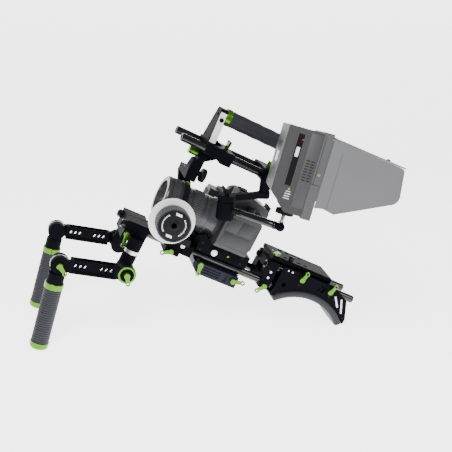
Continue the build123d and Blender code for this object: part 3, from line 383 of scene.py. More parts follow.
# ---- grips -----------------------------------------------------------------------------------------
# A ribbed rubber sleeve pushed on each grip's tube, between a green anodised collar and a rounded
# green end cap. The ribs run round the sleeve, soft-edged, a little over four millimetres apart.
rubber = finish("grip_rubber", (0.008, 0.008, 0.013), (0.015, 0.015, 0.023), rough=(0.55, 0.72), bump=0.25,
                cloud=60.0, grain_scale=2600.0, sheen=0.08, specular=0.3)
sleeve_top, rib_count, rib_step = -47.0, 24, 103.5 / 24
for side, way in (("left", -1), ("right", 1)):
    broken_edges(f"grip_head_{side}", black_anodised, 0.5)
    broken_edges(f"grip_trim_{side}", green_anodised, 0.4)
    wrist = Matrix.Translation(joints[f"grip_pitch_{side}"]["pos_m"]) @ rig_turn
    down_grip = wrist @ Matrix.Rotation(radians(grip_lean), 4, "Y")
    outline = [(9.1, sleeve_top), (15.2, sleeve_top)]
    for rib in range(rib_count):
        top = sleeve_top - rib * rib_step
        for share, radius in ((0.10, 15.25), (0.22, 15.85), (0.40, 16.0), (0.62, 16.0), (0.80, 15.85),
                              (0.92, 15.25)):
            outline.append((radius, top - share * rib_step))
    outline += [(15.2, sleeve_top - 103.4), (9.1, sleeve_top - 103.4), (9.1, sleeve_top)]
    sleeve = bmesh.new()
    turned(sleeve, outline, 56)
    ribbed = placed(f"ribbed_sleeve_{side}", sleeve, down_grip, rubber, f"grip_{side}", smooth=60)
    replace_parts(ribbed, f"grip_sleeve_{side}")
    screw = bmesh.new()
    turned(screw, [(0, 0.9), (2.4, 0.9), (2.7, 2.4), (4.6, 2.4), (5.0, 2.0), (5.0, 0), (0, 0)], 32)
    placed(f"cap_screw_{side}", screw, down_grip @ Matrix.Translation((0, 0, -0.1622)),
           black_anodised, f"grip_{side}")

# ---- follow focus ----------------------------------------------------------------------------------
# A rod clamp carries a right-angle gearbox. The hand wheel in front has a knurled rim round a black
# dial with white ticks, a plain white disc behind it takes pencil marks, and a toothed gear at the
# back turns the toothed ring clamped round the lens.
black_plastic = finish("moulded_black", (0.004, 0.004, 0.005), (0.010, 0.010, 0.012), rough=(0.38, 0.55),
                       bump=0.12,
                       worn_and_highlight_to=(0.10, 0.10, 0.10), wear=0.9, specular=0.1)
rim_grey = finish("knurled_rim", (0.018, 0.018, 0.020), (0.045, 0.045, 0.050), rough=(0.3, 0.45),
                  metallic=0.2,
                  worn_and_highlight_to=(0.28, 0.28, 0.30), wear=1.6, specular=0.2)
white_acetal = finish("white_acetal", (0.80, 0.80, 0.80), (0.90, 0.90, 0.90), rough=(0.3, 0.42), bump=0.03,
                      cloud=12.0)
mark_white = finish("mark_white", (0.82, 0.82, 0.82), (0.95, 0.95, 0.95), rough=(0.5, 0.6), bump=0.02)
mark_grey = finish("mark_grey", (0.55, 0.55, 0.56), (0.65, 0.65, 0.66), rough=(0.5, 0.6), bump=0.02)
broken_edges("focus_bridge", black_anodised, 0.5)
broken_edges("focus_bridge_lever", green_anodised, 0.35)
broken_edges("focus_gearbox", black_plastic, 0.6)
wheel_place = on_rig(67, -90.9, 53) @ to_left


def toothed(shape, root, tip, teeth, low, high, land=0.45):
    """Adds a toothed ring's outer wall about z, its teeth square to the axis, with closed faces."""
    made = bmesh.ops.create_circle(shape, cap_ends=True, radius=root, segments=teeth * 4)["verts"]
    step = 2 * pi / (teeth * 4)
    for vert in made:
        slot = round((atan2(vert.co.y, vert.co.x) % (2 * pi)) / step) % 4
        reach = tip if slot in (1, 2) else root
        turn = (slot in (1, 3)) * 0.25 * step - (slot in (0, 2)) * 0.25 * step
        vert.co *= reach / root
        vert.co = Matrix.Rotation(turn * land, 3, "Z") @ vert.co
        vert.co.z = low
    face = made[0].link_faces[0]
    out = bmesh.ops.extrude_face_region(shape, geom=[face])["geom"]
    bmesh.ops.translate(shape, verts=[g for g in out if isinstance(g, bmesh.types.BMVert)],
                        vec=(0, 0, high - low))
    return [g for g in out if isinstance(g, bmesh.types.BMFace)]


rim = bmesh.new()
top = toothed(rim, 30.2, 31.0, 60, 0.6, 24.4)
for depth, inset in ((0.0, 2.2), (-1.6, 0.5), (0.0, 1.2)):
    bmesh.ops.inset_region(rim, faces=top, thickness=inset, depth=depth)
rim_piece = placed("wheel_rim", rim, wheel_place, rim_grey, "handwheel", smooth=30)
dial = bmesh.new()
turned(dial, [(0, -0.2), (29.0, -0.2), (29.0, 22.9), (27.2, 23.5), (10.6, 23.5), (9.8, 24.3), (8.2, 24.9),
              (5.6, 24.9),
              (4.9, 24.2), (4.9, 18.0), (0, 18.0)], 96)
placed("wheel_dial", dial, wheel_place, black_plastic, "handwheel")
spindle = bmesh.new()
turned(spindle, [(0, -30.8), (5.0, -30.8), (5.0, -2.4), (11.6, -2.4), (12.0, -2.0), (12.0, 0.7), (0, 0.7)],
       40)
placed("wheel_spindle", spindle, wheel_place, bright_metal, "handwheel")
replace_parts(rim_piece, "handwheel")
socket = bmesh.new()
bmesh.ops.create_cube(socket, size=1.0)
bmesh.ops.scale(socket, vec=(6.6, 6.6, 5.0), verts=socket.verts)
bmesh.ops.translate(socket, vec=(0, 0, 18.2), verts=socket.verts)
top = [f for f in socket.faces if f.normal.z > 0.9]
bmesh.ops.inset_region(socket, faces=top, thickness=0.7, depth=0)
bmesh.ops.translate(socket, vec=(0, 0, -3.0), verts=list({v for f in top for v in f.verts}))
placed("wheel_socket", socket, wheel_place, bright_metal, "handwheel")
ticks = bmesh.new()
for mark in range(48):
    if 7 <= mark % 24 <= 17:
        continue
    made = bmesh.ops.create_cube(ticks, size=1.0)["verts"]
    bmesh.ops.scale(ticks, vec=(2.4, 1.0 if mark % 2 else 1.5, 0.16), verts=made)
    bmesh.ops.translate(ticks, vec=(20.8, 0, 23.55), verts=made)
    bmesh.ops.rotate(ticks, cent=(0, 0, 0), matrix=Matrix.Rotation((mark + 0.5) * pi / 24, 3, "Z"),
                     verts=made)
for turn_by in (pi / 2, -pi / 2):
    made = bmesh.ops.create_cube(ticks, size=1.0)["verts"]
    bmesh.ops.scale(ticks, vec=(4.4, 11.0, 0.16), verts=made)
    bmesh.ops.rotate(ticks, cent=(0, 0, 0), matrix=Matrix(((1, 0, 0), (0.35, 1, 0), (0, 0, 1))), verts=made)
    bmesh.ops.translate(ticks, vec=(20.8, 0, 23.55), verts=made)
    bmesh.ops.rotate(ticks, cent=(0, 0, 0), matrix=Matrix.Rotation(turn_by, 3, "Z"), verts=made)
placed("wheel_marks", ticks, wheel_place, mark_white, "handwheel")
disc = bmesh.new()
turned(disc, [(12.1, 0.3), (12.1, 2.9), (40.2, 2.9), (40.8, 2.7), (42.0, 1.2), (42.0, 0.7), (41.4, 0.3),
              (12.1, 0.3)], 128)
disc_place = on_rig(67, -87.7, 53) @ to_left
disc_piece = placed("white_disc", disc, disc_place, white_acetal, "marking_disc")
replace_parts(disc_piece, "marking_disc")
scale = bmesh.new()
for mark in range(72):
    made = bmesh.ops.create_cube(scale, size=1.0)["verts"]
    bmesh.ops.scale(scale, vec=(2.4 if mark % 6 == 0 else 1.2, 0.22, 0.1), verts=made)
    bmesh.ops.translate(scale, vec=(38.2, 0, 2.92), verts=made)
    bmesh.ops.rotate(scale, cent=(0, 0, 0), matrix=Matrix.Rotation(mark * pi / 36, 3, "Z"), verts=made)
placed("disc_marks", scale, disc_place, mark_grey, "marking_disc")
gear = bmesh.new()
toothed(gear, 18.3, 20.0, 40, 0.0, 11.0, 1.0)
turned(gear, [(0, 13.0), (5.6, 13.0), (6.8, 12.2), (7.0, 11.0), (0, 11.0)], 32)
turned(gear, [(0, -6.0), (4.0, -6.0), (4.0, 0.0), (0, 0.0)], 24)
drive_at = Vector(joints["drive_gear_turn"]["pos_m"])
gear_place = Matrix.Translation(drive_at) @ rig_turn @ to_back
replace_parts(placed("toothed_drive_gear", gear, gear_place, black_plastic, "drive_gear", 25), "drive_gear")
band = bmesh.new()
toothed(band, 41.8, 43.5, 87, 0.0, 11.0, 1.0)
caps = [f for f in band.faces if abs(f.normal.z) > 0.9 and len(f.verts) > 60]
bmesh.ops.inset_region(band, faces=caps, thickness=2.2, depth=0)
bmesh.ops.delete(band, geom=caps, context="FACES")
open_rims = [e for e in band.edges if len(e.link_faces) == 1]
bmesh.ops.bridge_loops(band, edges=open_rims)
ring_place = on_rig(80.5, 0, 68) @ to_back
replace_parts(placed("toothed_lens_ring", band, ring_place, black_plastic, "lens_gear_ring", 25),
            "lens_gear_ring")
screw = bmesh.new()
turned(screw, [(0, 0.6), (1.9, 0.6), (2.1, 1.8), (3.8, 1.8), (4.2, 1.4), (4.2, 0), (0, 0)], 32)
placed("bridge_screw", screw, on_rig(111, -71.5, 14) @ to_left, bright_metal, "chassis")

# ---- lens ------------------------------------------------------------------------------------------
# A grey zoom lens: a flared front with a coated front glass, a finely ribbed focus ring ahead of the
# gear and a zoom ring behind it, with thin dark lines between its barrels.
lens_grey = finish("lens_grey", (0.030, 0.030, 0.034), (0.048, 0.048, 0.053), rough=(0.2, 0.3),
                   metallic=0.15,
                   worn_and_highlight_to=(0.45, 0.45, 0.46), wear=1.4, bump=0.1)
lens_rubber = finish("lens_rubber", (0.028, 0.028, 0.032), (0.048, 0.048, 0.053), rough=(0.55, 0.7),
                     bump=0.2,
                     worn_and_highlight_to=(0.25, 0.25, 0.26), wear=1.6)
barrel = bmesh.new()
turned(barrel, [(0, 20.0), (20.0, 18.0), (21.5, 15.0), (23.5, 14.6), (24.0, 11.0), (26.5, 10.6),
                (27.0, 7.0), (29.5, 6.5),
                (30.5, 0.2), (38.6, 0.2), (39.0, 0.6), (40.3, 3.0), (40.5, 4.0), (40.5, 8.0), (39.2, 8.6),
                (39.2, 10.2),
                (40.2, 10.8), (40.2, 25.0), (39.2, 25.8), (39.0, 28.0), (39.1, 43.2), (37.0, 44.6),
                (36.8, 47.0),
                (36.0, 48.0), (36.0, 56.0), (36.8, 57.0), (36.8, 76.0), (36.0, 77.0), (36.0, 84.0),
                (36.6, 84.6),
                (36.6, 88.0), (36.0, 88.6), (36.0, 94.0), (38.3, 99.0), (38.3, 115.8), (0, 115.8)], 96)
lens_place = on_rig(50, 0, 68) @ to_back
lens_piece = placed("lens_barrel", barrel, lens_place, lens_grey, "chassis", 25)
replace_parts(lens_piece, "camera_lens")
for name, low, high, root, tip, ribs in (("focus_ribs", 11.2, 24.6, 39.6, 41.0, 66),
                                         ("zoom_ribs", 57.6, 75.4, 36.6, 38.0, 60)):
    ribbed = bmesh.new()
    for rib in range(ribs):
        made = bmesh.ops.create_cube(ribbed, size=1.0)["verts"]
        bmesh.ops.scale(ribbed, vec=(tip - root + 0.8, 2.0, high - low), verts=made)
        for vert in made:
            if vert.co.x > 0:
                vert.co.y *= 0.6
        bmesh.ops.translate(ribbed, vec=((tip + root - 0.8) / 2 - 0.45, 0, (low + high) / 2), verts=made)
        bmesh.ops.rotate(ribbed, cent=(0, 0, 0), matrix=Matrix.Rotation(rib * 2 * pi / ribs, 3, "Z"),
                         verts=made)
    placed(name, ribbed, lens_place, lens_rubber, "chassis")
lines = bmesh.new()
for height, radius in ((9.4, 39.25), (52.0, 36.05), (80.5, 36.05), (91.5, 36.05)):
    turned(lines, [(radius - 0.4, height - 0.45), (radius + 0.12, height - 0.45),
                   (radius + 0.12, height + 0.45),
                   (radius - 0.4, height + 0.45), (radius - 0.4, height - 0.45)], 96)
placed("barrel_lines", lines, lens_place, black_plastic, "chassis")
coated_glass = bpy.data.materials.new("coated_glass")
coated_glass.use_nodes = True
tree = coated_glass.node_tree
shader = tree.nodes["Principled BSDF"]
shader.inputs["Roughness"].default_value = 0.03
shader.inputs["Coat Weight"].default_value = 1.0
shader.inputs["Coat Roughness"].default_value = 0.02
rim_weight = tree.nodes.new("ShaderNodeLayerWeight")
rim_weight.inputs["Blend"].default_value = 0.35
sheen_mix = tree.nodes.new("ShaderNodeMix")
sheen_mix.data_type = "RGBA"
sheen_mix.inputs[6].default_value, sheen_mix.inputs[7].default_value = (0.004, 0.004, 0.012, 1), (0.06,
                                                                                                  0.03,
                                                                                                  0.12, 1)
smudge = calc(tree, "MULTIPLY_ADD", grain(tree, 45.0, 4.0), 0.10, 0.0)
wire(tree, (rim_weight.outputs["Facing"], sheen_mix.inputs[0]),
     (sheen_mix.outputs[2], shader.inputs["Base Color"]),
     (smudge, shader.inputs["Roughness"]))
front_glass = bmesh.new()
turned(front_glass, [(0, 9.5), (8.0, 10.0), (16.0, 11.8), (21.0, 13.8), (23.9, 15.6), (23.9, 17.6),
                     (0, 17.6)], 64)
placed("front_glass", front_glass, lens_place, coated_glass, "chassis", 50)

band_knob = bmesh.new()
turned(band_knob, [(0, 48.6), (3.4, 48.6), (3.9, 48.0), (3.9, 44.4), (3.0, 44.0), (3.0, 43.2), (0, 43.2)],
       28)
placed("gear_band_knob", band_knob, on_rig(86, 0, 68) @ Matrix.Rotation(radians(12), 4, "X"),
       green_anodised, "lens_gear_ring")

# ---- camera ----------------------------------------------------------------------------------------
# A grey camera body in moulded plastic over metal: a pentaprism hump with a flash shoe, rubber on the
# hand grip, a screen and buttons at the back, a mode dial and strap lugs. It stands on the baseplate.
camera_grey = finish("camera_grey", (0.022, 0.022, 0.025), (0.036, 0.036, 0.040), rough=(0.4, 0.55),
                     bump=0.3, specular=0.3,
                     worn_and_highlight_to=(0.28, 0.28, 0.29), wear=1.2, grain_scale=1900.0)
broken_edges("camera_body", camera_grey, 1.0)
frame["nodes"]["shutter_button"].material_slots[0].material = bright_metal
camera_rubber = finish("camera_rubber", (0.022, 0.022, 0.025), (0.040, 0.040, 0.044), rough=(0.62, 0.78),
                       bump=0.6,
                       grain_scale=900.0, worn_and_highlight_to=(0.12, 0.12, 0.12), wear=0.8)


def brick(shape, x0, x1, y0, y1, z0, z1, ease=0.0):
    """Adds a block between two corners, its edges eased."""
    made = bmesh.ops.create_cube(shape, size=1.0)["verts"]
    bmesh.ops.scale(shape, vec=(x1 - x0, y1 - y0, z1 - z0), verts=made)
    bmesh.ops.translate(shape, vec=((x0 + x1) / 2, (y0 + y1) / 2, (z0 + z1) / 2), verts=made)
    if ease:
        edges = list({e for v in made for e in v.link_edges})
        bmesh.ops.bevel(shape, geom=edges, offset=ease, segments=2, profile=0.5, affect="EDGES",
                        material=-1)


def round_piece(shape, outline, at, direction, steps=32):
    """Adds a turned solid at a place, its axis along a direction."""
    before = set(shape.verts)
    turned(shape, outline, steps)
    fresh = [v for v in shape.verts if v not in before]
    turn = Vector(direction).to_track_quat("Z", "Y").to_matrix().to_4x4()
    bmesh.ops.transform(shape, matrix=Matrix.Translation(at) @ turn, verts=fresh)


def screw_outline(radius, height):
    """The outline of a cap screw's head with its socket, as (radius, height) pairs."""
    return [(0, height * 0.35), (radius * 0.5, height * 0.35), (radius * 0.55, height),
            (radius * 0.88, height),
            (radius, height * 0.8), (radius, -0.6), (0, -0.6)]


skin = bmesh.new()
brick(skin, 145.4, 181, 57.5, 84.5, 42, 104, 2.4)
placed("hand_grip_rubber", skin, rig_place, camera_rubber, "chassis")
side = bmesh.new()
brick(side, 172, 226, -62.9, -60, 44, 68, 1.2)
brick(side, 172, 196, -62.9, -60, 71, 96, 1.2)
brick(side, 198.5, 226, -62.9, -60, 71, 96, 1.2)
placed("port_covers", side, rig_place, camera_grey, "chassis")
trim = bmesh.new()
round_piece(trim, [(0, 1.5), (8.2, 1.5), (9.0, 0.8), (9.0, -1.0), (0, -1.0)], (206, -44, 115.6), (0, 0, 1),
            40)
round_piece(trim, [(0, 7.0), (7.6, 7.0), (8.4, 6.2), (8.6, 1.4), (8.6, 0), (0, 0)], (206, -44, 115.6),
            (0, 0, 1), 40)
round_piece(trim, [(0, 5.0), (5.6, 5.0), (6.2, 4.4), (6.4, 0), (0, 0)], (221, 57, 115.6), (0, 0, 1), 40)
brick(trim, 182, 199, -9, 9, 138.6, 140.6, 0.4)
brick(trim, 181, 201, -11, -9, 138.6, 142.2, 0.4)
brick(trim, 181, 201, 9, 11, 138.6, 142.2, 0.4)
brick(trim, 214, 221, -63.6, -60.5, 104, 112, 0.8)
brick(trim, 214, 221, 82.5, 85.6, 104, 112, 0.8)
placed("camera_controls", trim, rig_place, black_plastic, "chassis")
back = bmesh.new()
brick(back, 239.4, 241.2, -46, 50, 47.5, 97, 0.5)
placed("camera_screen", back, rig_place, coated_glass, "chassis")
keys = bmesh.new()
for z in (54, 66, 78, 90):
    round_piece(keys, [(0, 1.8), (2.8, 1.8), (3.2, 1.4), (3.2, -0.5), (0, -0.5)], (232, 66, z), (1, 0, 0),
                20)
round_piece(keys, [(0, 1.2), (3.0, 1.2), (3.4, 2.2), (8.0, 2.2), (8.6, 1.4), (8.6, -0.5), (0, -0.5)],
            (232, 74, 72), (1, 0, 0), 32)
brick(keys, 247, 251, -17, 17, 118, 133, 1.5)
placed("camera_keys", keys, rig_place, camera_rubber, "chassis")

# ---- baseplate -------------------------------------------------------------------------------------
# The camera plate, black, with a lens cradle at its front, over a slate-blue milled box that clamps
# the rods. A round silver knob drives the plate's lock, and green levers clamp the box.
slate_anodised = finish("slate_anodised", (0.007, 0.008, 0.014), (0.014, 0.016, 0.026), rough=(0.3, 0.42),
                        metallic=0.1,
                        worn_and_highlight_to=(0.12, 0.13, 0.17), wear=1.0, specular=0.1)
broken_edges("camera_plate", black_anodised, 0.6)
broken_edges("base_block", slate_anodised, 0.6)
broken_edges("base_lever", green_anodised, 0.35)
broken_edges("base_lock_lever", green_anodised, 0.35)
knob = bmesh.new()
toothed(knob, 5.7, 6.1, 28, 0.0, 7.0)
turned(knob, [(0, 7.6), (4.6, 7.6), (5.2, 7.0), (0, 7.0)], 28)
turned(knob, [(0, 0), (4.0, 0), (4.0, -0.6), (0, -0.6)], 24)
placed("plate_lock_knob", knob, on_rig(178.7, -42, 18) @ to_left, bright_metal, "chassis", 30)
dots = bmesh.new()
round_piece(dots, [(0, 1.0), (1.8, 1.0), (2.1, 0.6), (2.1, -0.4), (0, -0.4)], (208.5, -42, 20), (0, -1, 0),
            28)
placed("plate_green_button", dots, rig_place, green_anodised, "chassis")
screws = bmesh.new()
for x, z in ((152, 14), (152, 27), (236, 16), (236, 27)):
    round_piece(screws, screw_outline(2.2, 1.0), (x, -42, z), (0, -1, 0), 20)
    round_piece(screws, screw_outline(2.2, 1.0), (x, 42, z), (0, 1, 0), 20)
for x, z in ((158, -6), (241, -6), (241, -27)):
    round_piece(screws, screw_outline(2.0, 0.9), (x, -45, z), (0, -1, 0), 20)
    round_piece(screws, screw_outline(2.0, 0.9), (x, 45, z), (0, 1, 0), 20)
placed("baseplate_screws", screws, rig_place, black_plastic, "chassis")

# ---- riser -----------------------------------------------------------------------------------------
# The black block that carries the shoulder rods above the lower rods, clamped by a green lever.
broken_edges("riser_block", black_anodised, 0.6)
broken_edges("riser_lever", green_anodised, 0.35)
screws = bmesh.new()
for z in (12, 24):
    round_piece(screws, screw_outline(2.3, 1.2), (300.5, -41, z), (0, -1, 0), 20)
    round_piece(screws, screw_outline(2.3, 1.2), (300.5, 41, z), (0, 1, 0), 20)
placed("riser_screws", screws, rig_place, bright_metal, "chassis")

# ---- shoulder pad ----------------------------------------------------------------------------------
# Two black cheeks and a curved sheet carry a thick dark foam cushion with a smooth skin. Over them a
# drilled rail deck clamps the shoulder rods with green cam levers.
foam_skin = finish("foam_skin", (0.007, 0.007, 0.012), (0.014, 0.014, 0.022), rough=(0.5, 0.65), bump=0.35,
                   cloud=22.0,
                   grain_scale=1500.0, sheen=0.08, specular=0.3)
broken_edges("shoulder_frame", black_anodised, 0.3)
broken_edges("shoulder_deck", black_anodised, 0.6)
for lever in ("deck_lock_lever", "deck_lever_front", "deck_lever_rear"):
    broken_edges(lever, green_anodised, 0.35)
arch_middle = on_rig(402, 0, -95)
cushion = bmesh.new()
half_width, inner, outer, crown = 49.2, 97.6, 111.7, 0.8
section = []
for share in range(25):
    across = -1 + share / 12
    section.append((across * (half_width - 4), inner - crown * (1 - across * across) + 0.8))
corner = [(half_width - 1.2, inner + 2.2), (half_width, inner + 5.0), (half_width, outer - 2.6),
          (half_width - 0.9, outer - 0.7),
          (half_width - 2.6, outer)]
section += corner + [(-y, r) for y, r in reversed(corner)]
ring = [cushion.verts.new((0, y, r)) for y, r in section]
edges = [cushion.edges.new((ring[i], ring[(i + 1) % len(ring)])) for i in range(len(ring))]
bmesh.ops.rotate(cushion, cent=(0, 0, 0), matrix=Matrix.Rotation(radians(-45.6), 3, "Y"), verts=ring)
bmesh.ops.spin(cushion, geom=ring + edges, cent=(0, 0, 0), axis=(0, 1, 0), angle=radians(91.2),
                       steps=44)
loops = {}
for edge in [e for e in cushion.edges if len(e.link_faces) == 1]:
    middle = (edge.verts[0].co + edge.verts[1].co) / 2
    loops.setdefault(middle.x > 0, []).append(edge)
for edges in loops.values():
    end = bmesh.ops.edgeloop_fill(cushion, edges=edges)["faces"]
    rim_edges = list(end[0].edges)
    bmesh.ops.bevel(cushion, geom=rim_edges, offset=4.2, segments=5, profile=0.5, affect="EDGES",
                    material=-1,
                    clamp_overlap=True)
foam = placed("foam_cushion", cushion, arch_middle, foam_skin, "shoulder_pad", 70)
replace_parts(foam, "shoulder_cushion")
fasteners = bmesh.new()
for y, way in ((-45.5, -1), (45.5, 1)):
    for x, z, radius in ((420, 40, 1.8), (362, 23, 2.2), (431, 24.5, 2.0), (331, -8, 2.0), (480, -6, 2.0)):
        round_piece(fasteners, screw_outline(radius, 1.0), (x, y, z), (0, way, 0), 20)
placed("pad_screws", fasteners, rig_place, black_plastic, "shoulder_pad")
dot_outline = [(0, 0.35), (1.5, 0.35), (1.7, 0.2), (1.7, -0.2), (0, -0.2)]
dots = bmesh.new()
for x, y in ((300, 0), (312, 0)):
    round_piece(dots, dot_outline, (x, y, 56), (0, 0, 1), 20)
for x, z in ((330, 41), (339, 41)):
    round_piece(dots, dot_outline, (x, -45.5, z), (0, -1, 0), 20)
placed("pad_dots", dots, rig_place, mark_white, "shoulder_pad")
strips = bmesh.new()
for y0, y1 in ((-45.0, -43.2), (43.2, 45.0)):
    for (x0, z0), (x1, z1) in (((445, 28), (458, 11.5)), ((459.5, 27), (471.5, 3))):
        length = ((x1 - x0) ** 2 + (z1 - z0) ** 2) ** 0.5
        before = set(strips.verts)
        brick(strips, -length / 2 - 2, length / 2 + 2, y0, y1, -1.9, 1.9, 0.5)
        fresh = [v for v in strips.verts if v not in before]
        lie = Matrix.Translation(((x0 + x1) / 2, 0, (z0 + z1) / 2)) @ Matrix.Rotation(-atan2(z1 - z0,
                                                                                             x1 - x0), 4,
                                                                                             "Y")
        bmesh.ops.transform(strips, matrix=lie, verts=fresh)
placed("strap_slot_strips", strips, rig_place, white_acetal, "shoulder_pad")
stop = bmesh.new()
round_piece(stop, [(0, 9.0), (4.6, 9.0), (5.4, 8.2), (5.4, 3.0), (4.2, 2.4), (4.2, 0), (0, 0)],
            (331, -28, 56), (0, 0, 1), 32)
placed("deck_stop_knob", stop, rig_place, black_plastic, "shoulder_pad")

# ---- top handle ------------------------------------------------------------------------------------
# A tapered post on the top rods with a plate screwed to its near side, painted near white as a
# painted reflection of the lamp on glossy black, and a rubber sleeve with shallow waves between two
# green collars. A green wing screw clamps the post's foot.
broken_edges("handle_post", black_anodised, 0.6)
broken_edges("post_knob", green_anodised, 0.4)
broken_edges("top_grip_trim", green_anodised, 0.4)


def hull(shape, points):
    """Adds the closed solid that wraps a set of points."""
    made = [shape.verts.new(point) for point in points]
    bmesh.ops.convex_hull(shape, input=made)


# Near white: a painted reflection of the lamp on the post's glossy black near side.
painted_reflection_white = finish("painted_reflection_white", (0.80, 0.80, 0.81), (0.92, 0.92, 0.93), rough=(0.28, 0.4),
                      metallic=0.1,
                      worn_and_highlight_to=(0.95, 0.95, 0.95), wear=1.2)
plate = bmesh.new()
taper = 15 / 61
z0, z1 = 200.5, 256.5
near = [-30 + (z - 197) * taper for z in (z0, z1)]
points = []
for out in (0.15, -0.8):
    for x in (79.8, 91.8):
        points += [(x, near[0] + out, z0), (x, near[1] + out, z1)]
hull(plate, points)
bmesh.ops.bevel(plate, geom=list(plate.edges), offset=0.2, segments=2, profile=0.5, affect="EDGES",
                material=-1)
placed("post_side_painted_reflection", plate, rig_place, painted_reflection_white, "chassis")
screw = bmesh.new()
slant = Vector((0, -cos(atan2(15, 61)), sin(atan2(15, 61))))
round_piece(screw, screw_outline(4.2, 1.8), (86, -30 + (243 - 197) * taper - 0.7, 243), slant, 32)
placed("post_side_screw", screw, rig_place, black_anodised, "chassis")
wave = [(9.0, 0.2)]
for step in range(55):
    along = 0.2 + 107.6 * step / 54
    dip = 0.5 - 0.5 * cos(2 * pi * along / 27)
    edge = min(1.0, along / 1.2, (108 - along) / 1.2)
    wave.append((14.2 + 0.8 * edge - 0.55 * dip * edge, along))
wave += [(9.0, 107.8), (9.0, 0.2)]
sleeve = bmesh.new()
turned(sleeve, wave, 64)
wavy = placed("wavy_sleeve", sleeve, on_rig(104, 0, 250) @ to_back, rubber, "chassis", 60)
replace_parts(wavy, "top_grip_sleeve")
screw = bmesh.new()
round_piece(screw, screw_outline(4.4, 1.6), (223, 0, 250), (1, 0, 0), 28)
round_piece(screw, screw_outline(3.0, 1.4), (79, 0, 250), (-1, 0, 0), 28)
for y in (-20, 20):
    round_piece(screw, screw_outline(2.0, 1.0), (79, y, 206), (-1, 0, 0), 20)
placed("handle_screws", screw, rig_place, black_plastic, "chassis")

# ---- support arm -----------------------------------------------------------------------------------
# The black bracket that carries the top rods past the lens. A green knob locks it to the post's foot
# and a black mushroom knob sets its height.
broken_edges("support_bracket", black_anodised, 0.6)
broken_edges("support_height_knob", black_plastic, 0.5)
broken_edges("support_lock_knob", green_anodised, 0.5)
screw = bmesh.new()
for x, z in ((84, 124.5), (118, 66), (132.7, 0)):
    round_piece(screw, screw_outline(2.6, 1.2), (x, 63, z), (0, 1, 0), 24)
placed("support_screws", screw, rig_place, bright_metal, "chassis")

# ---- monitor arm -----------------------------------------------------------------------------------
# A flat link and a polished black rod meet at a heavy hub, and a wing knob locks both. The rod ends in
# a ball and a bright stud with a knurled wheel under the monitor.
hub_z = Vector(joints["link_turn"]["axis"])
hub_x = Vector((0, 1, 0)).cross(hub_z)
hub = Matrix((hub_x, (0, 1, 0), hub_z)).transposed().to_4x4()
hub.translation = Vector(joints["rod_turn"]["pos_m"]) - hub_z * 0.011
broken_edges("monitor_arm_clamp", black_anodised, 0.5)
broken_edges("arm_clamp_knob", green_anodised, 0.5)
broken_edges("arm_link", black_anodised, 0.5)
broken_edges("arm_rod", black_anodised, 0.5)
ball = Vector(joints["monitor_pan"]["pos_m"]) - Vector(joints["monitor_pan"]["axis"]) * 0.034
start = Vector(joints["rod_turn"]["pos_m"]) - hub_z * 0.015
rod_way = (ball - start).normalized()
along_rod = Matrix.Translation(start) @ rod_way.to_track_quat("Z", "Y").to_matrix().to_4x4()
polished = bmesh.new()
length = (ball - start).length * 1000
turned(polished, [(6.45, 17.5), (6.6, 17.8), (6.6, length - 8.2), (6.45, length - 7.9), (6.45, 17.5)], 40)
placed("polished_rod", polished, along_rod, rod_black,
       "arm_rod")
collar = bmesh.new()
turned(collar, [(6.5, length - 13), (7.2, length - 12.7), (7.2, length - 9.3), (6.5, length - 9),
                (6.5, length - 13)], 40)
placed("rod_collar", collar, along_rod, black_plastic,
       "arm_rod")
broken_edges("hub_knob", black_plastic, 0.5)
broken_edges("monitor_lock_wheel", black_plastic, 0.4)
cap = bmesh.new()
turned(cap, [(0, -24.4), (3.4, -24.4), (3.8, -23.4), (10.4, -23.4), (11.4, -23.0), (11.4, -22.0),
             (0, -22.0)], 40)
placed("hub_cap", cap, hub, bright_metal, "arm_rod")
monitor_up = Vector(joints["monitor_pan"]["axis"])
monitor_across = Vector(joints["hood_top_fold"]["axis"])
monitor_back = monitor_across.cross(monitor_up)
monitor = Matrix((monitor_back, monitor_across, monitor_up)).transposed().to_4x4()
monitor.translation = Vector(joints["monitor_pan"]["pos_m"]) + monitor_back * 0.019
stud = bmesh.new()
turned(stud, [(3.15, -26), (3.5, -26), (3.7, -25.4), (3.7, -13.2), (3.5, -12.6), (3.15, -12.6),
              (3.15, -26)], 32, (-19, 0, 0))
turned(stud, [(3.6, -26.2), (5.4, -26.2), (5.8, -25.8), (5.8, -24.2), (5.4, -23.8), (3.6, -23.8),
              (3.6, -26.2)], 6, (-19, 0, 0))
placed("stud_sleeve", stud, monitor, bright_metal, "arm_rod")
grips = bmesh.new()
for step in range(26):
    before = set(grips.verts)
    brick(grips, 14.9, 16.1, -0.9, 0.9, -10.4, -2.6, 0.3)
    fresh = [v for v in grips.verts if v not in before]
    turn = Matrix.Translation((-19, 0, 0)) @ Matrix.Rotation(2 * pi * step / 26, 4, "Z")
    bmesh.ops.transform(grips, matrix=turn, verts=fresh)
placed("lock_wheel_grips", grips, monitor, black_plastic, "monitor_lock_wheel")

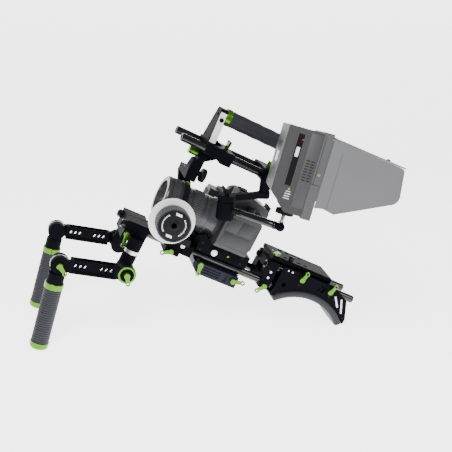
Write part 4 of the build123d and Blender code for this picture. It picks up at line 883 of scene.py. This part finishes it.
# ---- monitor ---------------------------------------------------------------------------------------
# A dark grey case with a long recess, a raised rib with vent slits, a blank white sticker and a red
# light on each side. Its glass sits inside a lighter frame that carries the hood.
monitor_grey = finish("monitor_grey", (0.027, 0.026, 0.029), (0.036, 0.035, 0.038), rough=(0.5, 0.62),
                      bump=0.3,
                      worn_and_highlight_to=(0.2, 0.2, 0.2), wear=1.0, cloud=16.0, grain_scale=1800.0)
rib_grey = finish("rib_grey", (0.038, 0.037, 0.041), (0.050, 0.049, 0.053), rough=(0.48, 0.6), bump=0.3,
                  worn_and_highlight_to=(0.25, 0.25, 0.25), wear=1.0, cloud=16.0, grain_scale=1800.0)
frame_grey = finish("frame_grey", (0.060, 0.060, 0.064), (0.078, 0.078, 0.083), rough=(0.5, 0.62),
                    bump=0.25,
                    worn_and_highlight_to=(0.32, 0.32, 0.32), wear=0.8, cloud=16.0, grain_scale=1800.0)
red_light = finish("red_light", (0.5, 0.03, 0.02), (0.65, 0.06, 0.04), rough=(0.2, 0.3), coat=0.5)
brass = finish("brass", (0.50, 0.40, 0.16), (0.65, 0.52, 0.24), rough=(0.25, 0.4), metallic=0.8)
broken_edges("monitor_case", monitor_grey, 1.2)
broken_edges("hood_frame", frame_grey, 0.8)
ribs, dark_marks_and_shade, pale_marks, lights, brasses = (bmesh.new() for _ in range(5))
for way in (-1, 1):
    face = 80 * way
    y0, y1 = sorted((face, face + way * 0.8))
    brick(ribs, -21, -0.6, y0, y1, 12, 136, 0.35)
    brick(ribs, -30.5, -29.3, y0, y1, 44, 130, 0.2)
    brick(ribs, -42.2, -41, y0, y1, 44, 130, 0.2)
    thin = way * 0.95
    for row in range(8):
        z = 58 + row * 4.6
        for x0, x1 in ((-17.5, -11.5), (-9.5, -3.0)):
            brick(dark_marks_and_shade, x0, x1, *sorted((face, face + thin)), z, z + 1.5)
    flush = way * 0.12
    # A flush black sheet fills the long recess between the two thin ribs: painted shade for the recess's
    # depth.
    brick(dark_marks_and_shade, -41, -30.5, *sorted((face, face + flush)), 44, 130)
    brick(pale_marks, -38.5, -33.0, *sorted((face, face + way * 0.4)), 92, 108, 0.1)
    for z, x0, x1 in ((22, -37, -27), (26, -36.5, -28), (30, -36, -27), (34, -35.5, -28)):
        brick(pale_marks, x0, x1, *sorted((face, face + flush)), z, z + 1.1)
    round_piece(lights, [(0, 1.0), (1.0, 0.8), (1.3, 0.3), (1.3, -0.4), (0, -0.4)], (-32, face, 121),
                (0, way, 0), 20)
    round_piece(brasses, screw_outline(1.9, 0.9), (-31.5, face, 39), (0, way, 0), 20)
    round_piece(brasses, screw_outline(2.4, 1.0), (8.5, face + way, 74), (0, way, 0), 24)
    edge = face + way
    brick(dark_marks_and_shade, 0.8, 15.2, *sorted((edge, edge + flush)), 56, 56.8)
    brick(dark_marks_and_shade, 3.4, 4.0, *sorted((edge, edge + flush)), 57, 138)
brick(dark_marks_and_shade, -59.2, -58.9, -30, 30, 60, 110)
brick(pale_marks, -59.3, -58.9, -22, 22, 74, 92, 0.1)
brick(dark_marks_and_shade, -48, -12, -50, 50, 139.9, 140.12)
placed("monitor_ribs", ribs, monitor, rib_grey, "monitor")
placed("monitor_dark_marks", dark_marks_and_shade, monitor, black_plastic, "monitor")
placed("monitor_pale_marks", pale_marks, monitor, mark_white, "monitor")
placed("monitor_lights", lights, monitor, red_light, "monitor")
placed("monitor_brass_screws", brasses, monitor, brass, "monitor")
glass = bmesh.new()
brick(glass, -3.0, -2.2, -67.9, 67.9, 24.1, 129.9, 0.3)
placed("monitor_glass", glass, monitor, coated_glass, "monitor")

# ---- hood ------------------------------------------------------------------------------------------
# Three folded grey plastic flaps on barrel hinges round the screen. The side flaps taper to the back
# and two stops sit near the top flap's far edge.
hood_grey = finish("hood_grey", (0.125, 0.125, 0.133), (0.155, 0.155, 0.164), rough=(0.46, 0.6), bump=0.2,
                   worn_and_highlight_to=(0.5, 0.5, 0.5), wear=0.6, cloud=10.0, grain_scale=2000.0)
for flap in ("hood_top", "hood_side_left", "hood_side_right"):
    broken_edges(flap, hood_grey, 0.4)
stops = bmesh.new()
for y in (-72, 72):
    round_piece(stops, [(0, 2.6), (2.6, 2.6), (3.2, 2.0), (3.4, 0), (3.4, -0.6), (0, -0.6)],
                (112, y, 126.8), (0, 0, 1), 24)
placed("hood_stops", stops, monitor, frame_grey, "hood_top")
# A darker line down the near side flap: painted shade in its fold.
crease_shade = bmesh.new()
brick(crease_shade, 36, 37, -80.12, -79.9, 24, 118)
placed("hood_crease_shade", crease_shade, monitor, frame_grey, "hood_side_left")
